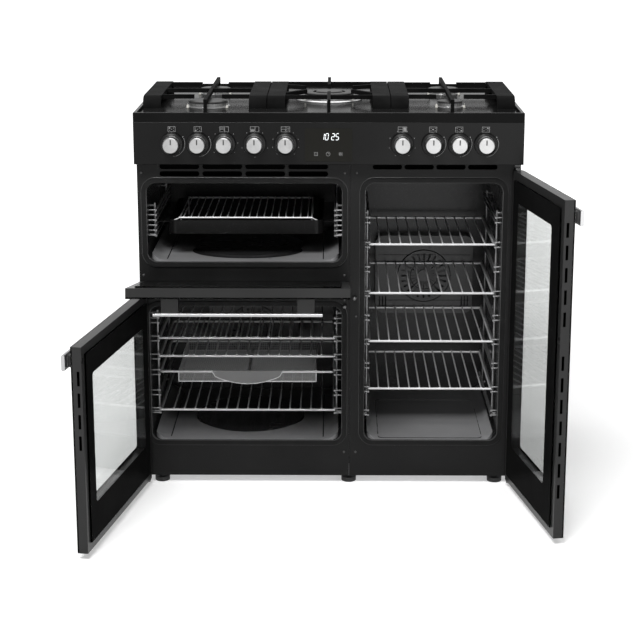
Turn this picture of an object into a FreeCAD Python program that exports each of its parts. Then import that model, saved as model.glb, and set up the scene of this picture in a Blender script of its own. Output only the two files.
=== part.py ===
import FreeCAD, Part
import math
import os

os.makedirs("parts", exist_ok=True)

# Range cooker with three oven cavities and a five-burner gas hob. Millimetres, +Z up.
# Origin: centre of the base pan's underside. +X is the viewer's right, -Y faces the viewer.
# The three doors are drawn shut and then swung to their open stops, the pose at rest.

# ---- overall sizes ----
hob_width = 900.0
hob_depth = 600.0
rim_height = 890.0
body_inset = 2.0
foot_drop = 20.0
back_recess = 26.0
back_margin = 4.0

# ---- sheet, clearances ----
sheet = 1.5
thin_sheet = 1.2
liner_wall = 1.0
seat_gap = 0.3
running_gap = 0.05

# ---- door section; door_gap is the space between a shut door and the front frame ----
door_thickness = 28.0
door_face_step = 3.0
door_gap = 5.0
pane = 4.0

# ---- hob; an inset is a distance in from the hob's front or rear edge ----
lip_height = 21.5
tray_recess = 7.0
rim_width = 8.0
burner_shift = 5.5
front_burner_inset = 179.0
rear_burner_inset = 158.0
wok_y = 20.0
rapid_radius = 48.0
medium_radius = 38.0
small_radius = 31.0
wok_radius = 62.0
wok_inner_radius = 34.0
wok_base_radius = 82.0
head_height = 10.0
cap_height = 4.5
wok_head_height = 15.0
wok_cap_height = 4.0
wok_inner_cap_height = 6.0

# ---- pan supports ----
plane_above_tray = 28.0
bar_height = 10.0
bar_width = 8.0
shoulder_width = 42.0
support_centre_width = 292.0
support_split = 2.0
support_margin = 9.0
shoulder_front_inset = 135.0
shoulder_rear_inset = 113.0
blade_front_inset = 75.0
blade_rear_inset = 36.0
finger_gap = 66.0
arm_root_width = 15.0
arm_tip_width = 7.0
wok_blade_reach = (75.0, 80.0)
cross_bar_y = 5.0

# ---- control panel; a knob has its side of the panel and its distance in from that side ----
fascia_height = 98.5
knob_rise = 48.5
knob_face_radius = 18.1
knob_skirt_radius = 25.0
knob_length = 32.5
knob_skirt_length = 9.0
knob_lift = 4.5
spindle_radius = 4.0
clock_width = 110.0
clock_height = 77.0
clock_rise = 46.0
gas_knob_insets = [("rear_left", -1, 89.0), ("front_left", -1, 149.0), ("wok", 1, 210.0),
                   ("front_right", 1, 150.0), ("rear_right", 1, 89.0)]
oven_knob_insets = [("grill", -1, 210.0), ("main_oven", -1, 280.0), ("function", -1, 351.0),
                    ("tall_oven", 1, 280.5)]

# ---- gas taps and rail ----
tap_long = 58.0
rail_radius_gas = 8.5
gas_inlet_inset = 48.0

# ---- cooling slots: start beside the opening's left edge, drop of each row below the panel ----
left_vents = {"start": 32.2, "long": 93.0, "pitch": 100.2, "count": 4, "drops": [33.5, 16.4], "tall": 12.4}
right_vents = {"start": 16.8, "long": 68.5, "pitch": 74.0, "count": 4, "drops": [16.6], "tall": 11.6}

# ---- cavities; the seam is the joint between the left and right front frames ----
seam_x = 50.5
left_opening_from_side = 21.0
left_opening_from_seam = 18.5
tall_opening_from_seam = 35.5
tall_opening_from_side = 40.0
main_opening_bottom = 90.0
tall_opening_bottom = 91.0
upper_opening_tall = 188.0
upper_opening_drop = 49.0
tall_opening_drop = 48.0
main_opening_drop = 33.0
opening_radius = 22.0
seal_width = 11.0
upper_rear_space = 120.5
oven_rear_space = 92.5
liner_flange = 12.0

# ---- doors; margins are left, right, bottom and top ----
door_bottom = -4.0
door_top_gap = 16.0
grill_door_tall = 288.0
grill_door_lift = 8.0
main_window_margins = (58.0, 59.0, 98.0, 71.0)
tall_window_margins = (76.0, 60.0, 101.0, 68.0)
grill_window_margins = (56.5, 61.5, 74.0, 74.0)
inner_pane_inset = 19.0
side_pivot_inset = 8.0
side_pivot_shift = 1.0
grill_pivot_rise = 12.0
side_door_angle = 100.0
grill_door_angle = 80.0
pin_radius = 4.0

# ---- door slots, catches and hinge pieces ----
slot_long = 32.0
slot_tall = 6.0
slot_from_face = 16.0
slot_end_room = 30.0
main_slot_z = 246.0
main_slot_pitch = 47.6
tall_slot_z = 105.0
tall_slot_pitch = 48.7
catch_radius = 5.0
catch_reach = 9.0
main_catch_inset = 9.4
main_catch_drop = 32.0
tall_catch_inset = 9.7
tall_catch_z = 446.0
collar_radius = 7.0
boss_height = 18.0
notch_depth = 12.0
notch_wide = 24.0
arm_inset = 36.5
arm_thick = 5.0

# ---- handles; margins are from the door's left and right edges ----
handle_standoff = 41.5
handle_thick = 8.0
handle_tall = 35.0
handle_drop = 54.0
main_handle_margins = (59.0, 59.0)
tall_handle_margins = (67.0, 67.0)
grill_handle_margins = (56.5, 61.5)
bracket_width = 38.0
bracket_tall = 26.0
bracket_inset = 18.0

# ---- shelves; a rise is a height above the opening's lower edge ----
left_margin = 15.5
tall_margin = 10.0
rail_radius = 3.0
wire_radius = 1.8
side_rail_step = 0.3
stub_radius = 2.0
tall_wire_pitch = 25.0
main_wire_pitch = 25.8
wire_edge_room = 40.0
runner_radius = 2.4
upright_radius = 2.8
runner_pair = 12.0
shelf_front_inset = 51.0
shelf_back_gap = 6.5
tall_runner_pitch = 59.8
tall_runner_count = 9
tall_shelf_rise = 115.0
tall_shelf_runners = [0, 2, 4, 6]
main_runner_pitch = 45.4
main_runner_count = 6
main_shelf_rise = 61.0
main_shelf_runners = [0, 3, 4]
upper_runner_pitch = 24.5
upper_runner_count = 3
basket_runner = 2
basket_rise = 6.2
basket_side_room = 62.0
basket_back_room = 54.0
basket_tall = 26.0
pan_rise = 90.0
pan_side_room = 44.0
pan_back_room = 34.0
pan_deep = 33.0
pan_flange_drop = 7.0
trivet_side_room = 28.5
trivet_back_room = 35.0
trivet_rise = 5.0
trivet_pitch = 17.4
element_front_inset = 114.0

# ---- feet ----
foot_radius = 18.0
foot_pad_height = 11.0
foot_stud_radius = 4.0
front_foot_inset = 41.0
rear_foot_inset = 43.0
front_foot_back = 24.0
rear_foot_forward = 13.0

# ---- fans and their covers; spans are heights above the opening's lower edge ----
fan_radius = 58.0
grille_radius = 68.0
cover_standoff = 46.0
cover_corner = 22.0
tall_cover_half = 126.5
tall_cover_span = (219.0, 425.0)
tall_fan_rise = 319.0
main_cover_half = 116.5
main_cover_span = (60.0, 288.0)
main_fan_rise = 172.0


def inset_rectangle(outer, margins):
    return (outer[0] + margins[0], outer[1] - margins[1], outer[2] + margins[2], outer[3] - margins[3])


def cover_rectangle(opening, half, span):
    middle = (opening[0] + opening[1]) / 2
    return (middle - half, middle + half, opening[2] + span[0], opening[2] + span[1])


# ---- worked out from the above ----
body_width = hob_width - 2 * body_inset
side_x = body_width / 2
front_y = -hob_depth / 2
back_y = hob_depth / 2
door_front_y = front_y + door_face_step
door_back_y = door_front_y + door_thickness
frame_y = door_back_y + door_gap
frame_back_y = frame_y + sheet
side_back_y = back_y - back_margin
back_panel_y = side_back_y - back_recess
seal_thick = door_gap - seat_gap
upper_depth = back_panel_y - frame_back_y - upper_rear_space
oven_depth = back_panel_y - frame_back_y - oven_rear_space
oven_back_y = frame_back_y + oven_depth
cover_y = oven_back_y - cover_standoff

# Heights
lip_bottom = rim_height - lip_height
tray_top = rim_height - tray_recess
tray_under = tray_top - thin_sheet
plane_z = tray_top + plane_above_tray
fascia_bottom = lip_bottom - fascia_height
knob_z = fascia_bottom + knob_rise
clock_z = fascia_bottom + clock_rise
door_top = fascia_bottom - door_top_gap

# Hob and pan supports
support_side_width = hob_width / 2 - support_margin - support_split - support_centre_width / 2
burner_x = support_centre_width / 2 + support_split + support_side_width / 2 - burner_shift
front_burner_y = front_y + front_burner_inset
rear_burner_y = back_y - rear_burner_inset
shoulder_front_y = front_y + shoulder_front_inset
shoulder_rear_y = back_y - shoulder_rear_inset
blade_front_y = front_y + blade_front_inset
blade_rear_y = back_y - blade_rear_inset
wok_ring_front_y = wok_y - wok_blade_reach[0]
wok_ring_rear_y = wok_y + wok_blade_reach[1]
# Each arm of the middle support: root and tip.
front_arm = ((support_centre_width / 2 - 18.0, shoulder_front_y + 60.0), (56.0, wok_y - 33.0))
rear_arm = ((support_centre_width / 2 - 7.0, shoulder_rear_y - 70.0), (59.0, wok_y + 47.0))

# Control panel
gas_knobs = [(name, side * (hob_width / 2 - inset)) for name, side, inset in gas_knob_insets]
oven_knobs = [(name, side * (hob_width / 2 - inset)) for name, side, inset in oven_knob_insets]
gas_inlet_x = side_x - gas_inlet_inset

# Doors: left, right, bottom and top when shut
tall_door = (seam_x + 1.5, side_x, door_bottom, door_top)
grill_door = (-side_x + 1.5, seam_x - 1.0, door_top - grill_door_tall, door_top)
main_door = (-side_x, seam_x - 2.5, door_bottom, grill_door[2] - grill_door_lift)
main_window = inset_rectangle(main_door, main_window_margins)
tall_window = inset_rectangle(tall_door, tall_window_margins)
grill_window = inset_rectangle(grill_door, grill_window_margins)
main_handle = (main_door[0] + main_handle_margins[0], main_door[1] - main_handle_margins[1])
tall_handle = (tall_door[0] + tall_handle_margins[0], tall_door[1] - tall_handle_margins[1])
grill_handle = (grill_door[0] + grill_handle_margins[0], grill_door[1] - grill_handle_margins[1])
grill_pivot_y = door_front_y + door_thickness / 2
side_pivot_y = grill_pivot_y + side_pivot_shift
arm_places = [grill_door[0] + arm_inset, grill_door[1] - arm_inset]
main_catch = (main_door[1] - main_catch_inset, main_door[3] - main_catch_drop)
tall_catch = (tall_door[0] + tall_catch_inset, tall_catch_z)
main_slot_count = int((main_catch[1] - slot_end_room - main_slot_z) / main_slot_pitch) + 1
tall_slot_count = int((door_top - slot_end_room - tall_slot_z) / tall_slot_pitch) + 1

# Openings: left, right, bottom and top
left_opening_x0 = -side_x + left_opening_from_side
left_opening_x1 = seam_x - left_opening_from_seam
upper_opening_top = fascia_bottom - upper_opening_drop
upper_opening = (left_opening_x0, left_opening_x1, upper_opening_top - upper_opening_tall, upper_opening_top)
main_opening = (left_opening_x0, left_opening_x1, main_opening_bottom, main_door[3] - main_opening_drop)
tall_opening = (seam_x + tall_opening_from_seam, side_x - tall_opening_from_side, tall_opening_bottom,
                fascia_bottom - tall_opening_drop)

# Fans
tall_cover = cover_rectangle(tall_opening, tall_cover_half, tall_cover_span)
main_cover = cover_rectangle(main_opening, main_cover_half, main_cover_span)
tall_fan = ((tall_cover[0] + tall_cover[1]) / 2, tall_opening_bottom + tall_fan_rise)
main_fan = ((main_cover[0] + main_cover[1]) / 2, main_opening_bottom + main_fan_rise)

# Shelves, basket, grill pan
shelf_front_y = frame_y + shelf_front_inset
shelf_depth = cover_y - shelf_back_gap - shelf_front_y
tall_shelf_levels = [tall_opening_bottom + tall_shelf_rise + tall_runner_pitch * runner
                     for runner in tall_shelf_runners]
main_shelf_levels = [main_opening_bottom + main_shelf_rise + main_runner_pitch * runner
                     for runner in main_shelf_runners]
left_opening_width = left_opening_x1 - left_opening_x0
basket_width = left_opening_width - 2 * basket_side_room
basket_depth = shelf_depth - basket_back_room
pan_level = upper_opening[2] + pan_rise
pan_width = left_opening_width - 2 * pan_side_room
pan_depth = shelf_depth - pan_back_room
pan_flange = pan_side_room - left_margin
trivet_width = pan_width - 2 * trivet_side_room
trivet_depth = pan_depth - trivet_back_room
trivet_wires = int(trivet_width / trivet_pitch)

# Feet
foot_places = [(-side_x + front_foot_inset, frame_y + front_foot_back),
               (seam_x - 0.5, frame_y + front_foot_back),
               (side_x - front_foot_inset, frame_y + front_foot_back),
               (-side_x + rear_foot_inset, back_panel_y - rear_foot_forward),
               (side_x - rear_foot_inset, back_panel_y - rear_foot_forward)]


def vec(x, y, z):
    return FreeCAD.Vector(x, y, z)


def block(x0, x1, y0, y1, z0, z1):
    return Part.makeBox(x1 - x0, y1 - y0, z1 - z0, vec(x0, y0, z0))


def rod_x(x0, x1, y, z, radius):
    return Part.makeCylinder(radius, x1 - x0, vec(x0, y, z), vec(1, 0, 0))


def rod_y(x, y0, y1, z, radius):
    return Part.makeCylinder(radius, y1 - y0, vec(x, y0, z), vec(0, 1, 0))


def rod_z(x, y, z0, z1, radius):
    return Part.makeCylinder(radius, z1 - z0, vec(x, y, z0), vec(0, 0, 1))


def ball_y(x, y, z, radius):
    """Ball turned about an axis along Y, faceted along its outline."""
    flat = 0.94 * radius
    steps = 6
    points = [(0, -flat)]
    for step in range(steps + 1):
        angle = math.radians(20 + 140 * step / steps)
        points.append((radius * math.sin(angle), -radius * math.cos(angle)))
    points[1] = (points[1][0], -flat)
    points[-1] = (points[-1][0], flat)
    points.append((0, flat))
    return turned(points, vec(x, y, z), vec(0, 1, 0))


def bend(start, centre, angle, radius):
    """Bent stretch of round wire in a level plane, from its start round a centre."""
    arm = centre - start
    along = vec(-arm.y, arm.x, 0)
    ring = Part.makeCircle(radius, start, along)
    return Part.Face(Part.Wire(ring)).revolve(centre, vec(0, 0, 1), angle)


def wire_loop(x0, x1, y0, y1, z, radius):
    """Rectangle of welded wire: two cross rails with thinner side rails butted into them."""
    pieces = [rod_x(x0 - radius, x1 + radius, y, z, radius) for y in (y0, y1)]
    pieces += [rod_y(x, y0, y1, z, radius - side_rail_step) for x in (x0, x1)]
    return pieces


def joined(pieces):
    whole = pieces[0].multiFuse(pieces[1:])
    return whole.removeSplitter()


def less(whole, cutters):
    return whole.cut(Part.makeCompound(cutters)) if cutters else whole


def turned(points, centre, axis):
    """Solid of revolution: points are (radius, distance along axis) round a closed outline."""
    side = vec(1, 0, 0)
    corners = [centre + side * r + axis * t for r, t in points]
    outline = Part.makePolygon(corners + [corners[0]])
    return Part.Face(outline).revolve(centre, axis, 360)


def rounded_prism(x0, x1, z0, z1, y0, y1, radius):
    """Upright rounded rectangle in XZ, drawn out along Y."""
    solid = block(x0, x1, y0, y1, z0, z1)
    long_edges = [e for e in solid.Edges if abs(e.Vertexes[0].Y - e.Vertexes[1].Y) > 0.5 * (y1 - y0)]
    return solid.makeFillet(radius, long_edges)


def slot_prism(x0, x1, z0, z1, y0, y1):
    """A slot with round ends along X."""
    radius = (z1 - z0) / 2
    middle = (z0 + z1) / 2
    ends = [rod_y(x0 + radius, y0, y1, middle, radius), rod_y(x1 - radius, y0, y1, middle, radius)]
    return joined([block(x0 + radius, x1 - radius, y0, y1, z0, z1)] + ends)


def save(name, pieces):
    if len(pieces) == 1:
        shape = pieces[0]
    else:
        shape = Part.makeCompound(pieces)
    shape.exportStep("parts/" + name + ".step")
    print(name, len(shape.Solids), round(shape.Volume / 1000.0, 1), "cm3", shape.isValid())


# ---------------------------------------------------------------- body

def base_frame():
    x1 = side_x - sheet
    y1 = back_panel_y
    flange = 30.0
    boss_radius = 10.0
    boss_height = 16.0
    pan = block(-x1, x1, frame_back_y, y1, 0, flange)
    hollow = block(-x1 + sheet, x1 - sheet, frame_back_y + sheet, y1 - sheet, sheet, flange)
    bosses = [rod_z(x, y, 0, boss_height, boss_radius) for x, y in foot_places]
    bores = [rod_z(x, y, 0, boss_height, foot_stud_radius + running_gap) for x, y in foot_places]
    return less(joined([pan.cut(hollow)] + bosses), bores)


def levelling_feet():
    stud_top = 40.0
    feet = []
    for x, y in foot_places:
        pad = rod_z(x, y, -foot_drop, -foot_drop + foot_pad_height, foot_radius)
        edges = [e for e in pad.Edges if e.BoundBox.ZMax < -foot_drop + 0.1]
        pad = pad.makeFillet(2.0, edges)
        collar = rod_z(x, y, -foot_drop + foot_pad_height, -seat_gap, 8.0)
        stud = rod_z(x, y, -foot_drop + foot_pad_height, stud_top, foot_stud_radius)
        feet.append(joined([pad, collar, stud]))
    return feet


def side_panel(sign):
    """Plate with return flanges at the front, back and top."""
    outer = sign * side_x
    inner = outer - sign * sheet
    turn = 14.0
    deep = inner - sign * turn
    plate = block(min(outer, inner), max(outer, inner), frame_back_y, side_back_y, 0, tray_under)
    low = min(inner, deep)
    high = max(inner, deep)
    back = block(low, high, side_back_y - sheet, side_back_y, 0, tray_under)
    top = block(low, high, frame_back_y, side_back_y, tray_under - sheet, tray_under)
    return joined([plate, back, top])


def back_panel():
    x1 = side_x - sheet
    panel = block(-x1, x1, back_panel_y, back_panel_y + thin_sheet, 0, tray_under - sheet)
    cuts = []
    slot_long = 70.0
    slot_tall = 5.0
    for column in range(-4, 5):
        for row in range(4):
            x = column * 92.0
            z = tray_under - 60.0 - row * 14.0
            cuts.append(slot_prism(x - slot_long / 2, x + slot_long / 2, z, z + slot_tall,
                                   back_panel_y - 1, back_panel_y + thin_sheet + 1))
    cuts.append(rod_y(gas_inlet_x, back_panel_y - 1, back_panel_y + 2, rail_z, 14.0))
    return less(panel, cuts)


def opening_cut(opening, grow=0.0, y0=None, y1=None, radius=None):
    x0, x1, z0, z1 = opening
    y0 = frame_y - 1 if y0 is None else y0
    y1 = frame_back_y + 1 if y1 is None else y1
    radius = opening_radius + grow if radius is None else radius
    return rounded_prism(x0 - grow, x1 + grow, z0 - grow, z1 + grow, y0, y1, radius)


frame_top = fascia_bottom + 14.0


def vent_cuts(vents, opening):
    cuts = []
    for drop in vents["drops"]:
        z = fascia_bottom - drop
        for step in range(vents["count"]):
            x = opening[0] + vents["start"] + step * vents["pitch"]
            cuts.append(slot_prism(x, x + vents["long"], z, z + vents["tall"],
                                   frame_y - 1, frame_back_y + 1))
    return cuts


def left_front_frame():
    plate = block(-side_x, seam_x - 0.2, frame_y, frame_back_y, 0, frame_top)
    cuts = [opening_cut(upper_opening), opening_cut(main_opening)] + vent_cuts(left_vents, upper_opening)
    return less(plate, cuts)


def right_front_frame():
    plate = block(seam_x + 0.2, side_x, frame_y, frame_back_y, 0, frame_top)
    return less(plate, [opening_cut(tall_opening)] + vent_cuts(right_vents, tall_opening))


def liner(opening, depth, bosses, holes):
    """Enamelled box behind an opening, with a flange against the back of the front frame."""
    back = frame_back_y + depth
    shell = opening_cut(opening, liner_wall, frame_back_y, back)
    flange = opening_cut(opening, liner_flange, frame_back_y, frame_back_y + liner_wall,
                         opening_radius + liner_flange)
    inside = opening_cut(opening, 0.0, frame_back_y - 1, back - liner_wall)
    body = joined([shell, flange]).cut(inside)
    body = joined([body] + bosses) if bosses else body
    return less(body, holes)


def floor_oval(opening, depth):
    """Low oval dish pressed up in an oven floor."""
    x0, x1, z0, z1 = opening
    middle = vec((x0 + x1) / 2, frame_back_y + depth / 2 - 10.0, z0 - liner_wall / 2)
    wide = 0.29 * (x1 - x0) + 2.0
    deep = 0.34 * depth
    edge = Part.Ellipse(middle, max(wide, deep), min(wide, deep))
    if deep > wide:
        edge.rotate(FreeCAD.Placement(vec(0, 0, 0), vec(0, 0, 1), 90))
        edge.Center = middle
    face = Part.Face(Part.Wire(edge.toShape()))
    return face.extrude(vec(0, 0, 3.0))


def door_seal(opening):
    x0, x1, z0, z1 = opening
    outer = opening_cut(opening, seal_width, frame_y - seal_thick, frame_y)
    return outer.cut(opening_cut(opening, 1.0, frame_y - seal_thick - 1, frame_y + 1))


# ---------------------------------------------------------------- hob

burner_list = [("front_left", -burner_x, front_burner_y, rapid_radius),
               ("rear_left", -burner_x, rear_burner_y, medium_radius),
               ("front_right", burner_x, front_burner_y, small_radius),
               ("rear_right", burner_x, rear_burner_y, medium_radius)]


def cup_radius(radius):
    return 0.72 * radius


def hob_tray():
    x1 = hob_width / 2
    outer = block(-x1, x1, front_y, back_y, lip_bottom, rim_height)
    upright = [e for e in outer.Edges if abs(e.Vertexes[0].Z - e.Vertexes[1].Z) > 1]
    outer = outer.makeFillet(3.0, upright)
    rim_edges = [e for e in outer.Edges if e.BoundBox.ZMin > rim_height - 0.01]
    outer = outer.makeFillet(2.0, rim_edges)
    under = block(-x1 + thin_sheet, x1 - thin_sheet, front_y + thin_sheet, back_y - thin_sheet,
                  lip_bottom - 1, tray_under)
    recess = block(-x1 + rim_width, x1 - rim_width, front_y + rim_width, back_y - rim_width,
                   tray_top, rim_height + 1)
    flat_edges = [e for e in recess.Edges if abs(e.Vertexes[0].Z - e.Vertexes[1].Z) > 1]
    recess = recess.makeFillet(6.0, flat_edges)
    holes = [rod_z(x, y, tray_under - 1, tray_top + 1, cup_radius(r) + 0.5)
             for _, x, y, r in burner_list]
    holes.append(rod_z(0, wok_y, tray_under - 1, tray_top + 1, cup_radius(wok_radius) + 0.5))
    return less(outer, [under, recess] + holes)


def burner_head(x, y, radius, height):
    """Flared burner body on the tray, with its mixing cup below."""
    cup = cup_radius(radius)
    foot = radius + 4.0
    points = [(0, -26.0), (cup * 0.8, -26.0), (cup, -18.0), (cup, 0), (foot, 0), (foot, 1.5),
              (radius - 3.0, 3.5), (radius - 3.0, height), (0, height)]
    return turned(points, vec(x, y, tray_top), vec(0, 0, 1))


def burner_cap(x, y, radius, base, height):
    top = base + height
    points = [(0, base), (radius - 1.0, base), (radius, base + 1.2), (radius - 1.5, top - 1.0),
              (radius - 4.0, top), (0, top)]
    return turned(points, vec(x, y, tray_top), vec(0, 0, 1))


def burner_heads():
    heads = [burner_head(x, y, r, head_height) for _, x, y, r in burner_list]
    heads.append(burner_head(0, wok_y, wok_radius, wok_head_height))
    points = [(wok_radius + 4.5, 0), (wok_base_radius, 0), (wok_base_radius, 1.5), (wok_base_radius - 3.0, 3.5),
              (wok_radius + 4.5, 3.5)]
    heads.append(turned(points, vec(0, wok_y, tray_top), vec(0, 0, 1)))
    return heads


def wok_ring_cap():
    inner = wok_inner_radius + 6.0
    outer = wok_radius - 1.0
    top = wok_head_height + wok_cap_height
    points = [(inner, wok_head_height), (outer, wok_head_height), (outer, top - 1.5),
              (outer - 4.0, top), (inner, top)]
    return turned(points, vec(0, wok_y, tray_top), vec(0, 0, 1))


def burner_caps():
    caps = [burner_cap(x, y, r, head_height, cap_height) for _, x, y, r in burner_list]
    caps.append(wok_ring_cap())
    caps.append(burner_cap(0, wok_y, wok_inner_radius, wok_head_height, wok_inner_cap_height))
    return caps


def shoulder(x0, x1):
    """Wide side rail whose ends roll down to feet on the tray."""
    foot = tray_top + seat_gap
    bend = plane_z - foot - 1.0
    outer = block(x0, x1, shoulder_front_y, shoulder_rear_y, foot, plane_z)
    across = [e for e in outer.Edges if e.BoundBox.ZMin > plane_z - 0.01 and e.BoundBox.YLength < 0.1]
    outer = outer.makeFillet(bend, across)
    inner = block(x0 - 1, x1 + 1, shoulder_front_y + bar_height, shoulder_rear_y - bar_height,
                  foot - 1, plane_z - bar_height)
    across = [e for e in inner.Edges
              if e.BoundBox.ZMin > plane_z - bar_height - 0.01 and e.BoundBox.YLength < 0.1]
    inner = inner.makeFillet(bend - bar_height + 1.0, across)
    return outer.cut(inner)


def flat_bar(start, end, width):
    """Bar of the pan plane between two points of it, given as (x, y)."""
    run = vec(end[0] - start[0], end[1] - start[1], 0)
    bar = Part.makeBox(run.Length, width, bar_height, vec(0, -width / 2, 0))
    bar.rotate(vec(0, 0, 0), vec(0, 0, 1), math.degrees(math.atan2(run.y, run.x)))
    bar.translate(vec(start[0], start[1], plane_z - bar_height))
    return bar


def tapered_arm(root, tip):
    """Arm of the pan plane that narrows from its root to its tip, given as (x, y)."""
    run = vec(tip[0] - root[0], tip[1] - root[1], 0)
    side = vec(-run.y, run.x, 0) / run.Length
    low = plane_z - bar_height
    ends = [vec(root[0], root[1], low), vec(tip[0], tip[1], low)]
    corners = [ends[0] + side * (arm_root_width / 2), ends[1] + side * (arm_tip_width / 2),
               ends[1] - side * (arm_tip_width / 2), ends[0] - side * (arm_root_width / 2)]
    outline = Part.makePolygon(corners + [corners[0]])
    return Part.Face(outline).extrude(vec(0, 0, bar_height))


def blade_end(x, y0, y1):
    """Leg at the end of a long bar."""
    return block(x - bar_width / 2, x + bar_width / 2, y0, y1, tray_top + seat_gap, plane_z)


def side_support(sign):
    centre = sign * (support_centre_width / 2 + support_split + support_side_width / 2)
    x0 = centre - support_side_width / 2
    x1 = centre + support_side_width / 2
    burner = sign * burner_x
    pieces = [shoulder(x0, x0 + shoulder_width), shoulder(x1 - shoulder_width, x1)]
    for y in (front_burner_y, rear_burner_y):
        pieces.append(flat_bar((x0 + 5, y), (burner - finger_gap / 2, y), bar_width))
        pieces.append(flat_bar((burner + finger_gap / 2, y), (x1 - 5, y), bar_width))
    pieces.append(flat_bar((x0 + 5, cross_bar_y), (x1 - 5, cross_bar_y), bar_width))
    pieces.append(flat_bar((burner, blade_front_y), (burner, blade_rear_y), bar_width))
    pieces.append(blade_end(burner, blade_front_y, blade_front_y + bar_height))
    pieces.append(blade_end(burner, blade_rear_y - bar_height, blade_rear_y))
    return joined(pieces)


def centre_support():
    half = support_centre_width / 2
    pieces = [shoulder(-half, -half + shoulder_width), shoulder(half - shoulder_width, half)]
    for side in (-1, 1):
        for root, tip in (front_arm, rear_arm):
            pieces.append(tapered_arm((side * root[0], root[1]), (side * tip[0], tip[1])))
    for y_end, tip, leg in ((blade_front_y, wok_ring_front_y, 1), (blade_rear_y, wok_ring_rear_y, -1)):
        pieces.append(flat_bar((0, y_end), (0, tip), bar_width))
        leg_y = sorted((y_end, y_end + leg * bar_height))
        pieces.append(blade_end(0, leg_y[0], leg_y[1]))
    cross = half - shoulder_width + 5.0
    for y in (shoulder_front_y + 34.0, shoulder_rear_y - 34.0):
        pieces.append(flat_bar((-cross, y), (cross, y), bar_width))
    return joined(pieces)


# ---------------------------------------------------------------- control panel

def control_panel():
    x1 = hob_width / 2
    top = fascia_bottom + fascia_height
    outer = block(-x1, x1, front_y, frame_y, fascia_bottom, top)
    front_edges = [e for e in outer.Edges if e.BoundBox.YMax < front_y + 0.01]
    outer = outer.makeFillet(1.4, front_edges)
    hollow = block(-x1 + sheet, x1 - sheet, front_y + sheet, frame_y + 1, fascia_bottom + sheet, top - sheet)
    holes = [rod_y(x, front_y - 1, front_y + sheet + 1, knob_z, spindle_radius + 2.0)
             for _, x in gas_knobs + oven_knobs]
    window = block(-clock_width / 2, clock_width / 2, front_y - 1, front_y + sheet + 1,
                   clock_z - clock_height / 2, clock_z + clock_height / 2)
    return less(outer, [hollow, window] + holes)


def clock_display():
    edge = 0.2
    half = clock_width / 2 - edge
    tall = clock_height / 2 - edge
    window = block(-half, half, front_y + 0.1, front_y + sheet, clock_z - tall, clock_z + tall)
    seat = 6.0
    module = block(-half - seat, half + seat, front_y + sheet, front_y + 24.0,
                   clock_z - tall - 3.0, clock_z + tall + 3.0)
    return [window, module]


def knob(x):
    """Skirted knob on a spindle, its back held clear of the panel for the push."""
    back = front_y - knob_lift
    away = vec(0, -1, 0)
    bore = spindle_radius + running_gap
    bore_depth = 20.0
    points = [(bore, 0), (knob_skirt_radius, 0), (knob_skirt_radius + 1.4, 1.2),
              (knob_skirt_radius, knob_skirt_length - 2.0),
              (knob_face_radius + 2.0, knob_skirt_length), (knob_face_radius + 0.8, knob_skirt_length + 1.5),
              (knob_face_radius, knob_length - 2.0), (knob_face_radius - 1.5, knob_length),
              (0, knob_length), (0, bore_depth), (bore, bore_depth)]
    return turned(points, vec(x, back, knob_z), away)


spindle_tip_y = front_y - knob_lift - 19.0
tap_front_y = front_y + sheet
rail_y = front_y + 56.0
rail_z = knob_z - 24.0


def gas_spindle(x):
    return rod_y(x, spindle_tip_y, tap_front_y + 30.0, knob_z, spindle_radius)


def tap_body(x):
    tap = turned([(0, 0), (11.0, 0), (11.0, 22.0), (15.0, 26.0), (15.0, tap_long), (0, tap_long)],
                 vec(x, tap_front_y, knob_z), vec(0, 1, 0))
    saddle = block(x - 10, x + 10, rail_y - 11, rail_y + 11, rail_z, knob_z)
    saddle = saddle.cut(rod_x(x - 11, x + 11, rail_y, rail_z, rail_radius_gas))
    bore = rod_y(x, tap_front_y - 1, tap_front_y + 36.0, knob_z, spindle_radius + running_gap)
    return joined([tap, saddle]).cut(bore)


def gas_taps():
    """Five taps in a row on the gas rail, which runs back to the inlet."""
    taps = [tap_body(x) for _, x in gas_knobs]
    first = gas_knobs[0][1] - 22.0
    turn = 22.0
    rail = rod_x(first, gas_inlet_x - turn, rail_y, rail_z, rail_radius_gas)
    elbow = bend(vec(gas_inlet_x - turn, rail_y, rail_z), vec(gas_inlet_x - turn, rail_y + turn, rail_z),
                 90, rail_radius_gas)
    back = rod_y(gas_inlet_x, rail_y + turn, side_back_y, rail_z, rail_radius_gas)
    nut = rod_y(gas_inlet_x, back_panel_y - 10.0, back_panel_y, rail_z, 13.0)
    return taps + [joined([rail, elbow, back, nut])]


def oven_switch(x):
    half = 20.0
    body = block(x - half, x + half, front_y + sheet, front_y + 28.0, knob_z - half, knob_z + half)
    shaft = rod_y(x, spindle_tip_y, front_y + sheet, knob_z, spindle_radius)
    return joined([body, shaft])


# ---------------------------------------------------------------- ovens

def ladder(opening, margin, sign, levels):
    """Side rack of paired runner wires on two uprights, pegged to an oven wall."""
    x0, x1, z0, z1 = opening
    wall = x0 if sign > 0 else x1
    upright_x = wall + sign * (margin - 3.6)
    runner_x = wall + sign * (margin + 1.0)
    y0 = shelf_front_y - 6.0
    y1 = shelf_front_y + shelf_depth - 6.0
    low = levels[0] - 14.0
    high = levels[-1] + runner_pair + 8.0
    pieces = []
    for y in (y0 + 22.0, y1 - 40.0):
        pieces.append(rod_z(upright_x, y, low, high, upright_radius))
        for z in (low + 6.0, high - 6.0):
            pieces.append(rod_x(min(wall, upright_x), max(wall, upright_x), y, z, upright_radius))
    for level in levels:
        for z in (runner_centre(level), runner_centre(level) + runner_pair):
            pieces.append(rod_y(runner_x, y0 - runner_radius, y1, z, runner_radius))
            pieces.append(rod_x(min(wall, runner_x), max(wall, runner_x), y0, z, stub_radius))
    return joined(pieces)


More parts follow.
